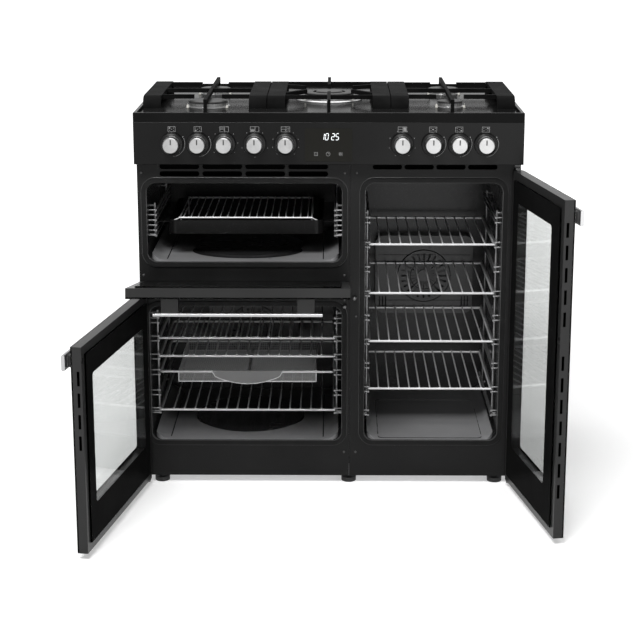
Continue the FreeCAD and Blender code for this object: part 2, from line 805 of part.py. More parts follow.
def runner_centre(level):
    """Height of the lower wire that carries a side rail whose centre is at the level."""
    return level - rail_radius - seat_gap - runner_radius


tall_levels = [tall_shelf_levels[0] + tall_runner_pitch * step
               for step in range(-1, tall_runner_count - 1)]
main_levels = [main_shelf_levels[0] + main_runner_pitch * step for step in range(main_runner_count)]
main_levels[basket_runner] += basket_rise
pan_seat = pan_level - pan_flange_drop - sheet + rail_radius
upper_levels = [pan_seat + upper_runner_pitch * step for step in range(-1, upper_runner_count - 1)]
basket_level = main_levels[basket_runner]


def shelf_ladders():
    ladders = []
    for opening, margin, levels in ((upper_opening, left_margin, upper_levels),
                                    (main_opening, left_margin, main_levels),
                                    (tall_opening, tall_margin, tall_levels)):
        ladders.append(ladder(opening, margin, 1, levels))
        ladders.append(ladder(opening, margin, -1, levels))
    return ladders


def wire_shelf(opening, margin, level, pitch):
    x0 = opening[0] + margin + rail_radius
    x1 = opening[1] - margin - rail_radius
    y0 = shelf_front_y
    y1 = shelf_front_y + shelf_depth
    wires = int((x1 - x0 - wire_edge_room) / pitch) + 1
    first = (x0 + x1) / 2 - pitch * (wires - 1) / 2
    top = level + rail_radius
    pieces = wire_loop(x0, x1, y0, y1, level, rail_radius)
    for step in range(wires):
        pieces.append(rod_y(first + step * pitch, y0 - 1.0, y1 + 1.0, top, wire_radius))
    return joined(pieces)


def crisper_basket():
    """Mesh tray hung in a shelf frame, with a curved handle plate at the front."""
    x0 = main_opening[0] + left_margin + rail_radius
    x1 = main_opening[1] - left_margin - rail_radius
    middle = (x0 + x1) / 2
    half = basket_width / 2
    y0 = shelf_front_y
    y1 = y0 + basket_depth
    low = basket_level - basket_tall
    frame = wire_loop(x0, x1, y0, y1, basket_level, rail_radius)
    tray = block(middle - half, middle + half, y0, y1, low, basket_level + 2.0)
    hollow = block(middle - half + sheet, middle + half - sheet, y0 + sheet, y1 - sheet,
                   low + sheet, basket_level + 3.0)
    rib = block(middle - 3.0, middle + 3.0, y0, y1, low, low + 2 * sheet)
    plate_half = 87.0
    plate_drop = 33.0
    start = vec(middle - plate_half, y0 - rail_radius, basket_level + rail_radius)
    end = vec(middle + plate_half, y0 - rail_radius, basket_level + rail_radius)
    low_left = start - vec(-8.0, 0, 14.0)
    low_right = end - vec(8.0, 0, 14.0)
    bottom = vec(middle, y0 - rail_radius, basket_level + rail_radius - plate_drop)
    edges = [Part.makeLine(end, start), Part.makeLine(start, low_left),
             Part.Arc(low_left, bottom, low_right).toShape(), Part.makeLine(low_right, end)]
    plate = Part.Face(Part.Wire(edges)).extrude(vec(0, sheet, 0))
    return joined(frame + [tray.cut(hollow), rib, plate])


def grill_pan():
    """Enamelled pan with side flanges that reach out to the runners."""
    middle = (upper_opening[0] + upper_opening[1]) / 2
    half = pan_width / 2
    y0 = shelf_front_y
    y1 = y0 + pan_depth
    low = pan_level - pan_deep
    corner = 22.0
    tray = rounded_prism_up(middle - half, middle + half, y0, y1, low, pan_level, corner)
    hollow = rounded_prism_up(middle - half + sheet, middle + half - sheet, y0 + sheet, y1 - sheet,
                              low + sheet, pan_level + 1, corner - sheet)
    reach = half + pan_flange
    seat = pan_level - pan_flange_drop
    flange = block(middle - reach, middle + reach, y0 + corner, y1 - corner, seat - sheet, seat)
    return joined([tray, flange]).cut(hollow)


def rounded_prism_up(x0, x1, y0, y1, z0, z1, radius):
    solid = block(x0, x1, y0, y1, z0, z1)
    upright = [e for e in solid.Edges if abs(e.Vertexes[0].Z - e.Vertexes[1].Z) > 1]
    return solid.makeFillet(radius, upright)


def strut(start, end, radius):
    run = vec(*end) - vec(*start)
    return Part.makeCylinder(radius, run.Length, vec(*start), run)


def grill_trivet():
    """Wire grid standing in the grill pan, with cranked ends and short legs."""
    middle = (upper_opening[0] + upper_opening[1]) / 2
    x0 = middle - trivet_width / 2
    x1 = middle + trivet_width / 2
    y0 = shelf_front_y + 6.0
    y1 = y0 + trivet_depth
    level = pan_level + trivet_rise
    low = pan_level - pan_deep + sheet
    first = middle - trivet_pitch * (trivet_wires - 1) / 2
    radius = 2.2
    leg_radius = 1.6
    reach = 17.0
    pieces = wire_loop(x0, x1, y0, y1, level, radius)
    for x, side in ((x0, -1), (x1, 1)):
        pieces.append(strut((x, y0, level), (x + side * reach, y0, level - 8.0), leg_radius))
        pieces.append(rod_z(x, y1 - 24.0, low, level, leg_radius))
        pieces.append(rod_z(x, y0 + 24.0, low, level, leg_radius))
    for step in range(trivet_wires):
        pieces.append(rod_y(first + step * trivet_pitch, y0 - 1, y1 + 1, level + radius, 1.3))
    return joined(pieces)


def fan_cover(place, fan):
    """Pressed cover over a fan, open at its back and pierced in front of the blades."""
    x0, x1, z0, z1 = place
    fan_x, fan_z = fan
    back = oven_back_y - liner_wall
    box = rounded_prism(x0, x1, z0, z1, cover_y, back, cover_corner)
    inside = rounded_prism(x0 + thin_sheet, x1 - thin_sheet, z0 + thin_sheet, z1 - thin_sheet,
                           cover_y + thin_sheet, back + 1, cover_corner - thin_sheet)
    ring = rod_y(fan_x, cover_y - 2.0, cover_y + thin_sheet, fan_z, grille_radius)
    ring_hollow = rod_y(fan_x, cover_y - 3.0, cover_y, fan_z, grille_radius - 4.0)
    cuts = []
    spokes = 24
    for start, end, wide in ((15.0, 34.0, 2.6), (38.0, 60.0, 5.0)):
        for step in range(spokes):
            slot = block(fan_x + start, fan_x + end, cover_y - 3, cover_y + 2, fan_z - wide / 2,
                         fan_z + wide / 2)
            slot.rotate(vec(fan_x, cover_y, fan_z), vec(0, 1, 0), 360.0 / spokes * step)
            cuts.append(slot)
    for step in range(3):
        for x in (x0 + 10.0 + 8.0 * step, x1 - 13.0 - 8.0 * step):
            cuts.append(block(x, x + 3.0, cover_y - 3, cover_y + 2, z0 + 12.0, z0 + 46.0))
    return less(joined([box.cut(inside), ring.cut(ring_hollow)]), cuts)


def oven_fan(fan):
    fan_x, fan_z = fan
    blades = 9
    y0 = cover_y + 10.0
    y1 = y0 + 18.0
    hub = rod_y(fan_x, y0, y1 + 3.0, fan_z, 12.0)
    plate = rod_y(fan_x, y1, y1 + thin_sheet, fan_z, fan_radius)
    shaft = rod_y(fan_x, y1, oven_back_y + 26.0, fan_z, spindle_radius)
    pieces = [hub, plate, shaft]
    for step in range(blades):
        blade = block(fan_x + 26.0, fan_x + fan_radius - 1.0, y0, y1, fan_z - 0.8, fan_z + 0.8)
        blade.rotate(vec(fan_x + 26.0, y0, fan_z), vec(0, 1, 0), 25.0)
        blade.rotate(vec(fan_x, y0, fan_z), vec(0, 1, 0), 360.0 / blades * step)
        pieces.append(blade)
    return joined(pieces)


def fan_motor(fan):
    fan_x, fan_z = fan
    motor = rod_y(fan_x, oven_back_y + 8.0, oven_back_y + 58.0, fan_z, 32.0)
    neck = rod_y(fan_x, oven_back_y, oven_back_y + 8.0, fan_z, 14.0)
    bore = rod_y(fan_x, oven_back_y - 1, oven_back_y + 30.0, fan_z, spindle_radius + running_gap)
    return joined([motor, neck]).cut(bore)


def ring_element(fan):
    """Round tube element about a fan, with two tails into the back wall."""
    fan_x, fan_z = fan
    radius = 3.2
    ring_radius = fan_radius + 14.0
    ring_y = cover_y + 20.0
    ring = Part.makeTorus(ring_radius, radius, vec(fan_x, ring_y, fan_z), vec(0, 1, 0))
    tails = [rod_y(fan_x + side * 8.0, ring_y, oven_back_y - liner_wall, fan_z + ring_radius - 0.5, radius)
             for side in (-1, 1)]
    return joined([ring] + tails)


def bent_element(x0, x1, y_front, z, back, runs):
    """Tube element in runs along X joined by half-round bends, with its ends in the back wall."""
    radius = 3.2
    half_pitch = 26.0
    pieces = []
    for step in range(runs):
        y = y_front + 2 * half_pitch * step
        pieces.append(rod_x(x0, x1, y, z, radius))
        if step < runs - 1:
            edge_x = x0 if step % 2 else x1
            turn = -180 if step % 2 else 180
            pieces.append(bend(vec(edge_x, y, z), vec(edge_x, y + half_pitch, z), turn, radius))
    last = y_front + half_pitch * 2 * (runs - 1)
    for y, tail_x in ((y_front, x0 - half_pitch), (last, x0 - 10.0)):
        turn = x0 - tail_x
        pieces.append(bend(vec(x0, y, z), vec(x0, y + turn, z), -90, radius))
        pieces.append(rod_y(tail_x, y + turn, back, z, radius))
    return joined(pieces)


def heating_elements():
    upper_back = frame_back_y + upper_depth - liner_wall
    middle = (upper_opening[0] + upper_opening[1]) / 2
    grill = bent_element(middle - 150.0, middle + 110.0, frame_y + element_front_inset,
                         upper_opening[3] - 16.0, upper_back, 4)
    return [grill, ring_element(main_fan), ring_element(tall_fan)]


# ---------------------------------------------------------------- doors

def door_frame(door, window):
    """Channel-section frame between the panes, open towards the outer one."""
    x0, x1, z0, z1 = door
    wx0, wx1, wz0, wz1 = window
    clear = 6.0
    front = door_front_y + pane
    back = door_back_y - pane
    edge = thin_sheet
    ring = block(x0, x1, front, back, z0, z1)
    hole = block(wx0 - clear, wx1 + clear, front - 1, back + 1, wz0 - clear, wz1 + clear)
    channel = block(x0 + edge, x1 - edge, front - 1, back - edge, z0 + edge, z1 - edge)
    web = block(wx0 - clear - edge, wx1 + clear + edge, front - 2, back + 1,
                wz0 - clear - edge, wz1 + clear + edge)
    return less(ring, [hole, channel.cut(web)])


def door_panes(door, inner):
    x0, x1, z0, z1 = door
    outer = block(x0, x1, door_front_y, door_front_y + pane, z0, z1)
    face_edges = [e for e in outer.Edges if e.BoundBox.YMax < door_front_y + 0.01]
    outer = outer.makeFillet(1.2, face_edges)
    a0, a1, b0, b1 = inner
    return [outer, block(a0, a1, door_back_y - pane, door_back_y, b0, b1)]


def door_handle(door, span):
    left, right = span
    middle = door[3] - handle_drop
    outer_y = door_front_y - handle_standoff
    bar = block(left, right, outer_y, outer_y + handle_thick, middle - handle_tall / 2, middle + handle_tall / 2)
    long_edges = [e for e in bar.Edges if e.BoundBox.XLength > 50]
    bar = bar.makeFillet(3.0, long_edges)
    pieces = [bar]
    for x in (left + bracket_inset, right - bracket_inset - bracket_width):
        pieces.append(block(x, x + bracket_width, outer_y + handle_thick, door_front_y,
                            middle - bracket_tall / 2, middle + bracket_tall / 2))
    return pieces


def swing(shapes, centre, axis, angle):
    for shape in shapes:
        shape.rotate(centre, axis, angle)
    return shapes


def edge_slots(free_x, places):
    y = door_front_y + slot_from_face
    half = slot_long / 2
    return [block(free_x - 3, free_x + 3, y - slot_tall / 2, y + slot_tall / 2, z - half, z + half)
            for z in places]


def pin_boss(pivot_x, z0, z1):
    """Bush block round a hinge pin, as deep as the door's channel."""
    half = side_pivot_inset - thin_sheet
    return block(pivot_x - half, pivot_x + half, door_front_y + pane + 0.5, door_back_y - pane, z0, z1)


def side_door(door, window, pivot_x, catch, slots, span, notched):
    x0, x1, z0, z1 = door
    free_x = x1 if pivot_x < (x0 + x1) / 2 else x0
    hinge_x = x0 if free_x == x1 else x1
    inward = 1 if free_x == x1 else -1
    top = z1 - notch_depth if notched else z1
    frame = door_frame(door, window)
    pieces = [frame, pin_boss(pivot_x, z0, z0 + boss_height), pin_boss(pivot_x, top - boss_height, top)]
    cuts = edge_slots(free_x, slots)
    pocket = rod_y(catch[0], door_back_y - pane - 16.0, door_back_y + 1, catch[1], catch_radius + 3.0)
    cup = rod_y(catch[0], door_back_y - pane - 17.0, door_back_y - pane, catch[1], catch_radius + 4.2)
    pieces.append(cup)
    cuts.append(pocket)
    if notched:
        notch_x = hinge_x + inward * notch_wide
        wall_x = notch_x + inward * thin_sheet
        low, high = sorted((hinge_x, wall_x))
        pieces.append(block(low, high, door_front_y + pane, door_back_y - pane, top - thin_sheet, z1))
        low, high = sorted((hinge_x - inward, notch_x))
        cuts.append(block(low, high, door_front_y + pane - 1, door_back_y + 1, top, z1 + 1))
    bore = pin_radius + running_gap
    cuts.append(rod_z(pivot_x, side_pivot_y, z0 - 1, z0 + boss_height + 1, bore))
    cuts.append(rod_z(pivot_x, side_pivot_y, top - boss_height - 1, top + 1, bore))
    frame = less(joined(pieces), cuts)
    inset = inner_pane_inset
    panes = door_panes(door, (x0 + inset, x1 - inset, z0 + inset, z1 - inset))
    handle = door_handle(door, span)
    angle = -side_door_angle if free_x == x1 else side_door_angle
    centre = vec(pivot_x, side_pivot_y, 0)
    swing([frame] + panes + handle, centre, vec(0, 0, 1), angle)
    return frame, panes, handle


def grill_door_parts():
    x0, x1, z0, z1 = grill_door
    frame = door_frame(grill_door, grill_window)
    pivot_z = z0 + grill_pivot_rise
    slot_half = arm_thick / 2 + 1.5
    rise = 24.0
    cuts = []
    pieces = [frame]
    for x in arm_places:
        for side in (-1, 1):
            face = x + side * slot_half
            cheek = block(min(face, face + side * 8.0), max(face, face + side * 8.0),
                          door_front_y + pane + 0.5, door_back_y - pane, z0, pivot_z + 12.0)
            pieces.append(cheek)
        cuts.append(block(x - slot_half, x + slot_half, door_front_y + pane + 0.5, door_back_y + 1,
                          z0 - 1, z0 + grill_pivot_rise + rise))
        cuts.append(rod_x(x - 20, x + 20, grill_pivot_y, pivot_z, pin_radius + running_gap))
    frame = less(joined(pieces), cuts)
    inset = inner_pane_inset
    panes = door_panes(grill_door, (x0 + inset, x1 - inset, z0 + grill_pivot_rise + rise + 4.0, z1 - inset))
    handle = door_handle(grill_door, grill_handle)
    swing([frame] + panes + handle, vec(0, grill_pivot_y, pivot_z), vec(1, 0, 0), grill_door_angle)
    return frame, panes, handle


def lower_bracket(pivot_x):
    """Plate on the base's front edge with an upright pin and a collar under the door."""
    top = main_door[2] - 2.5
    plate = block(pivot_x - 8, pivot_x + 8, side_pivot_y - 8, frame_y, top - 3.0, top)
    tab = block(pivot_x - 8, pivot_x + 8, frame_y - 2.0, frame_y, top - 3.0, 8.0)
    pin = rod_z(pivot_x, side_pivot_y, top - 6.0, main_door[2] + 14.0, pin_radius)
    collar = rod_z(pivot_x, side_pivot_y, top, main_door[2] - seat_gap, collar_radius)
    return joined([plate, tab, pin, collar])


def upper_bracket(pivot_x, door_top, lift):
    """Plate over the door's top with a pin down into it."""
    low = door_top + lift
    plate = block(pivot_x - 6, pivot_x + 6, side_pivot_y - 6, frame_y, low, low + 3.0)
    tab = block(pivot_x - 6, pivot_x + 6, frame_y - 2.0, frame_y, low, low + 8.0)
    pin = rod_z(pivot_x, side_pivot_y, door_top - 14.0, low + 3.0, pin_radius)
    return joined([plate, tab, pin])


def grill_arm(x):
    pivot_z = grill_door[2] + grill_pivot_rise
    half = arm_thick / 2
    arm = block(x - half, x + half, grill_pivot_y - 6.0, frame_y, pivot_z - 5.0, pivot_z + 5.0)
    pin = rod_x(x - half - 9.0, x + half + 9.0, grill_pivot_y, pivot_z, pin_radius)
    return joined([arm, pin])


def catch_stud(place):
    x, z = place
    stem = rod_y(x, frame_y - catch_reach, frame_y, z, 2.5)
    head = ball_y(x, frame_y - catch_reach, z, catch_radius)
    return joined([stem, head])


def hinge_brackets_and_catches():
    left = main_door[0] + side_pivot_inset
    right = tall_door[1] - side_pivot_inset
    brackets = [lower_bracket(left), lower_bracket(right),
                upper_bracket(left, main_door[3] - notch_depth, 3.0),
                upper_bracket(right, tall_door[3], 3.0)]
    arms = [grill_arm(x) for x in arm_places]
    return brackets + arms + [catch_stud(main_catch), catch_stud(tall_catch)]


def terminal_box():
    """Mains terminal box on the back panel, with a gland bore in its underside."""
    x0 = -360.0
    x1 = x0 + 110.0
    y0 = back_panel_y + thin_sheet
    y1 = side_back_y - 2.0
    box = block(x0, x1, y0, y1, 120.0, 200.0)
    hollow = block(x0 + 2, x1 - 2, y0 - 1, y1 - 2, 122.0, 198.0)
    gland_x = (x0 + x1) / 2
    gland_y = (y0 + y1) / 2
    gland = rod_z(gland_x, gland_y, 104.0, 122.0, 10.0)
    bore = rod_z(gland_x, gland_y, 103.0, 123.0, 6.0)
    return joined([box.cut(hollow), gland]).cut(bore)


# ---------------------------------------------------------------- build

save("base_frame", [base_frame()])
save("side_panels", [side_panel(-1), side_panel(1)])
save("back_panel", [back_panel()])
save("front_frames", [left_front_frame(), right_front_frame()])
save("levelling_feet", levelling_feet())
save("hob_tray", [hob_tray()])
save("burner_heads", burner_heads())
save("burner_caps", burner_caps())
save("pan_support_left", [side_support(-1)])
save("pan_support_centre", [centre_support()])
save("pan_support_right", [side_support(1)])
save("control_panel", [control_panel()])
save("clock_display", clock_display())
for name, x in gas_knobs:
    save("gas_knob_" + name, [knob(x)])
    save("gas_spindle_" + name, [gas_spindle(x)])
for name, x in oven_knobs:
    save("oven_knob_" + name, [knob(x)])
save("gas_taps", gas_taps())
save("oven_switches", [oven_switch(x) for _, x in oven_knobs])
main_hole = rod_y(main_fan[0], oven_back_y - 5, oven_back_y + 1, main_fan[1], spindle_radius + 2.0)
tall_hole = rod_y(tall_fan[0], oven_back_y - 5, oven_back_y + 1, tall_fan[1], spindle_radius + 2.0)
save("upper_oven_liner", [liner(upper_opening, upper_depth, [floor_oval(upper_opening, upper_depth)], [])])
save("main_oven_liner", [liner(main_opening, oven_depth, [floor_oval(main_opening, oven_depth)], [main_hole])])
save("tall_oven_liner", [liner(tall_opening, oven_depth, [], [tall_hole])])
save("door_seals", [door_seal(opening) for opening in (upper_opening, main_opening, tall_opening)])
save("shelf_ladders", shelf_ladders())
for number, level in enumerate(tall_shelf_levels):
    save("tall_shelf_%d" % (number + 1), [wire_shelf(tall_opening, tall_margin, level, tall_wire_pitch)])
for number, level in enumerate(main_shelf_levels):
    save("main_shelf_%d" % (number + 1), [wire_shelf(main_opening, left_margin, level, main_wire_pitch)])
save("crisper_basket", [crisper_basket()])
save("grill_pan", [grill_pan()])
save("grill_trivet", [grill_trivet()])
save("fan_covers", [fan_cover(main_cover, main_fan), fan_cover(tall_cover, tall_fan)])
save("main_fan", [oven_fan(main_fan)])
save("tall_fan", [oven_fan(tall_fan)])
save("fan_motors", [fan_motor(main_fan), fan_motor(tall_fan)])
save("heating_elements", heating_elements())
catch_slot = round((tall_catch[1] - tall_slot_z) / tall_slot_pitch)
main_slots = [main_slot_z + main_slot_pitch * step for step in range(main_slot_count)]
tall_slots = [tall_slot_z + tall_slot_pitch * step for step in range(tall_slot_count) if step != catch_slot]
frame, panes, handle = side_door(main_door, main_window, main_door[0] + side_pivot_inset, main_catch,
                                 main_slots, main_handle, True)
save("main_door_frame", [frame])
save("main_door_glass", panes)
save("main_door_handle", handle)
frame, panes, handle = side_door(tall_door, tall_window, tall_door[1] - side_pivot_inset, tall_catch,
                                 tall_slots, tall_handle, False)
save("tall_door_frame", [frame])
save("tall_door_glass", panes)
save("tall_door_handle", handle)
frame, panes, handle = grill_door_parts()
save("grill_door_frame", [frame])
save("grill_door_glass", panes)
save("grill_door_handle", handle)
save("hinge_brackets_and_catches", hinge_brackets_and_catches())
save("terminal_box", [terminal_box()])
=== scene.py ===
from functools import partial
from math import atan2, cos, hypot, pi, radians, sin

import bmesh
import bpy
from mathutils import Matrix, Vector


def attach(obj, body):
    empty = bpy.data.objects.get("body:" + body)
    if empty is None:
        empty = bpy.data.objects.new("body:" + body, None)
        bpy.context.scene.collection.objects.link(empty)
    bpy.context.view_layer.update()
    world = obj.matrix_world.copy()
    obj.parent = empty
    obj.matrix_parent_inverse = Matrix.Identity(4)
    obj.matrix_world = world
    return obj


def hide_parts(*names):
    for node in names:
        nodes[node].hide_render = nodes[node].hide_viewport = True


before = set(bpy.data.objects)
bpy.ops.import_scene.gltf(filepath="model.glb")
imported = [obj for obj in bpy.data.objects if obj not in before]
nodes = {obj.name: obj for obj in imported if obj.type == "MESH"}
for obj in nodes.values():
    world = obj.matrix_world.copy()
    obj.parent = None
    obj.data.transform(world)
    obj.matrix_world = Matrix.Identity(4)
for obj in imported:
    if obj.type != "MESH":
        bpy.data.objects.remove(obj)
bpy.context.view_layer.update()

# Range cooker with three ovens, doors open at rest. The CAD part is in metres here.
mm = 0.001


def addObject(name, data):
    thing = bpy.data.objects.new(name, data)
    bpy.context.scene.collection.objects.link(thing)
    return thing


# camera, first because everything else is judged through it
cameraLook = {"place": (0.0162, -4.173, 1.3884), "down": 14.313, "yaw": 0.5315, "lens": 95.16, "sensor": 36.0}
cameraData = bpy.data.cameras.new("photoCamera")
cameraData.lens = cameraLook["lens"]
cameraData.sensor_width = cameraLook["sensor"]
camera = addObject("photoCamera", cameraData)
camera.location = cameraLook["place"]
camera.rotation_euler = (radians(90 - cameraLook["down"]), 0, radians(cameraLook["yaw"]))
bpy.context.scene.camera = camera
bpy.context.scene.view_settings.view_transform = "Standard"
print("camera set")

# how the doors stand open: each was made shut and turned about its pivot
doorSwing = {
    "main": {"pivot": (-440, -282, 0), "axis": "Z", "angle": -100},
    "tall": {"pivot": (440, -282, 0), "axis": "Z", "angle": 100},
    "grill": {"pivot": (0, -283, 478), "axis": "X", "angle": 80},
}


def doorTurn(door):
    swing = doorSwing[door]
    pivot = Matrix.Translation(Vector(swing["pivot"]) * mm)
    return pivot @ Matrix.Rotation(radians(swing["angle"]), 4, swing["axis"]) @ pivot.inverted()


def setInputs(node, values):
    for label, value in values.items():
        node.inputs[label].default_value = value


# shader groups that several finishes share
def newGroup(name, numbers, outputs):
    group = bpy.data.node_groups.new(name, "ShaderNodeTree")
    group.interface.new_socket(name="Vector", in_out="INPUT", socket_type="NodeSocketVector")
    for label, value in numbers:
        socket = group.interface.new_socket(name=label, in_out="INPUT", socket_type="NodeSocketFloat")
        socket.default_value = value
    for label in outputs:
        group.interface.new_socket(name=label, in_out="OUTPUT", socket_type="NodeSocketFloat")
    entry = group.nodes.new("NodeGroupInput")
    leave = group.nodes.new("NodeGroupOutput")
    return group, entry, leave


def buildDetailGroup():
    # slow tone changes, and fine grain that can be stretched along one axis
    group, entry, leave = newGroup(
        "toneAndGrain",
        [("Tone Scale", 6.0), ("Grain Scale", 400.0), ("Stretch X", 1.0), ("Stretch Y", 1.0), ("Stretch Z", 1.0)],
        ["Tone", "Grain"])
    link = group.links.new
    stretch = group.nodes.new("ShaderNodeCombineXYZ")
    scaled = group.nodes.new("ShaderNodeVectorMath")
    scaled.operation = "MULTIPLY"
    for axis in "XYZ":
        link(entry.outputs["Stretch " + axis], stretch.inputs[axis])
    link(entry.outputs["Vector"], scaled.inputs[0])
    link(stretch.outputs[0], scaled.inputs[1])
    for label, place, detail, rough in (("Tone", entry.outputs["Vector"], 4.0, 0.55),
                                        ("Grain", scaled.outputs[0], 3.0, 0.6)):
        noise = group.nodes.new("ShaderNodeTexNoise")
        setInputs(noise, {"Detail": detail, "Roughness": rough})
        link(place, noise.inputs["Vector"])
        link(entry.outputs[label + " Scale"], noise.inputs["Scale"])
        link(noise.outputs[0], leave.inputs[label])
    return group


def mathNode(tree, operation, first, second, clamp=False):
    node = tree.nodes.new("ShaderNodeMath")
    node.operation = operation
    node.use_clamp = clamp
    tree.links.new(first, node.inputs[0])
    tree.links.new(second, node.inputs[1])
    return node.outputs[0]


def cellPattern(group, entry):
    # distance inside each cell, and a random colour for each cell
    cells = group.nodes.new("ShaderNodeTexVoronoi")
    pick = group.nodes.new("ShaderNodeSeparateColor")
    for label in ("Vector", "Scale"):
        group.links.new(entry.outputs[label], cells.inputs[label])
    group.links.new(cells.outputs["Color"], pick.inputs[0])
    return cells.outputs["Distance"], pick.outputs


def buildSpeckleGroup():
    # small round flecks, as in vitreous enamel
    group, entry, leave = newGroup("speckle", [("Scale", 260.0), ("Fleck", 0.16)], ["Mask"])
    distance, pick = cellPattern(group, entry)
    size = mathNode(group, "MULTIPLY", pick[0], entry.outputs["Fleck"])
    group.links.new(mathNode(group, "LESS_THAN", distance, size), leave.inputs["Mask"])
    return group


def buildSpangleGroup():
    # crystal patches of zinc on galvanised sheet
    group, entry, leave = newGroup("spangle", [("Scale", 90.0)], ["Patch"])
    group.links.new(cellPattern(group, entry)[1][1], leave.inputs["Patch"])
    return group


detailGroup = buildDetailGroup()
speckleGroup = buildSpeckleGroup()
spangleGroup = buildSpangleGroup()


# finishes
def mixColor(tree, factor, first, second):
    mix = tree.nodes.new("ShaderNodeMix")
    mix.data_type = "RGBA"
    tree.links.new(factor, mix.inputs[0])
    for value, socket in ((first, mix.inputs[6]), (second, mix.inputs[7])):
        if hasattr(value, "is_output"):
            tree.links.new(value, socket)
        else:
            socket.default_value = (*value, 1.0)
    return mix.outputs[2]


def spread(tree, source, low, high, fromLow=0.3, fromHigh=0.7):
    ramp = tree.nodes.new("ShaderNodeMapRange")
    tree.links.new(source, ramp.inputs["Value"])
    setInputs(ramp, {"From Min": fromLow, "From Max": fromHigh, "To Min": low, "To Max": high})
    return ramp.outputs[0]


def placeGroup(tree, group, source, values):
    node = tree.nodes.new("ShaderNodeGroup")
    node.node_tree = group
    tree.links.new(source, node.inputs["Vector"])
    setInputs(node, values)
    return node.outputs


def makeMaterial(name, look):
    material = bpy.data.materials.new(name)
    material.use_nodes = True
    tree = material.node_tree
    add, link = tree.nodes.new, tree.links.new
    shader = tree.nodes["Principled BSDF"]
    source = add("ShaderNodeTexCoord").outputs["Object"]
    if "door" in look:
        # a swung door's pattern is laid out as on the shut door
        back = doorTurn(look["door"]).inverted()
        mapping = add("ShaderNodeMapping")
        setInputs(mapping, {"Rotation": back.to_euler(), "Location": back.to_translation()})
        link(source, mapping.inputs["Vector"])
        source = mapping.outputs[0]
    stretch = {"Stretch " + axis: value for axis, value in zip("XYZ", look.get("stretch", (1.0, 1.0, 1.0)))}
    detail = placeGroup(tree, detailGroup, source, {
        "Tone Scale": look.get("tone", 6.0), "Grain Scale": look.get("grain", 400.0), **stretch})
    color = mixColor(tree, spread(tree, detail["Tone"], 0.0, 1.0), look["color"], look["second"])
    roughSpread = look.get("roughSpread", 0.03)
    rough = spread(tree, detail["Tone"], look["rough"] - roughSpread, look["rough"] + roughSpread)
    if "speckle" in look:
        flecks = placeGroup(tree, speckleGroup, source,
                            {"Scale": look.get("speckleScale", 420.0), "Fleck": look["fleck"]})
        color = mixColor(tree, flecks["Mask"], color, look["speckle"])
    if "spangle" in look:
        patches = placeGroup(tree, spangleGroup, source, {"Scale": look["spangleScale"]})
        color = mixColor(tree, spread(tree, patches["Patch"], 0.0, look["spangle"], 0.0, 1.0),
                         color, look["spangleColor"])
    if "frontOf" in look:
        # behind a line across Y the piece has its second colour, which is never a metal: a real second finish on
        # handles, doors and knobs, and painted shade at the back of the oven floors
        axes = add("ShaderNodeSeparateXYZ")
        link(source, axes.inputs[0])
        soft = look.get("frontSoft", 0.0001)
        behind = spread(tree, axes.outputs["Y"], 0.0, 1.0, look["frontOf"] - soft, look["frontOf"] + soft)
        color = mixColor(tree, behind, color, look["behindColor"])
        link(spread(tree, behind, look.get("metal", 0.0), 0.0, 0.0, 1.0),
             shader.inputs["Metallic"])
        roughMix = add("ShaderNodeMix")
        link(behind, roughMix.inputs[0])
        link(rough, roughMix.inputs[2])
        roughMix.inputs[3].default_value = look["behindRough"]
        rough = roughMix.outputs[0]
    else:
        shader.inputs["Metallic"].default_value = look.get("metal", 0.0)
    link(color, shader.inputs["Base Color"])
    link(rough, shader.inputs["Roughness"])
    setInputs(shader, {"Specular IOR Level": look.get("specular", 0.5), "IOR": look.get("ior", 1.5),
                       "Transmission Weight": look.get("transmission", 0.0)})
    if look.get("glow", 0.0) > 0:
        link(color, shader.inputs["Emission Color"])
        shader.inputs["Emission Strength"].default_value = look["glow"]
    if look.get("bump", 0.0) > 0:
        bump = add("ShaderNodeBump")
        setInputs(bump, {"Strength": look.get("strength", 0.5), "Distance": look["bump"] * mm})
        link(detail["Grain"], bump.inputs["Height"])
        link(bump.outputs[0], shader.inputs["Normal"])
    return material


def grey(value, tint=1.0):
    return (value, value, value * tint)


def surface(color, second, rough, tint=1.0, **more):
    # two colours that the tone drifts between, each a number where it is a grey
    first, other = (value if isinstance(value, tuple) else grey(value, tint) for value in (color, second))
    return {"color": first, "second": other, "rough": rough, **more}


brushedHandle = surface(0.34, 0.42, 0.34, tint=1.01, metal=0.9, grain=900, stretch=(0.03, 1.0, 1.0), bump=0.04,
    strength=0.35, specular=0.25, frontOf=-0.3303, behindColor=grey(0.022), behindRough=0.38)
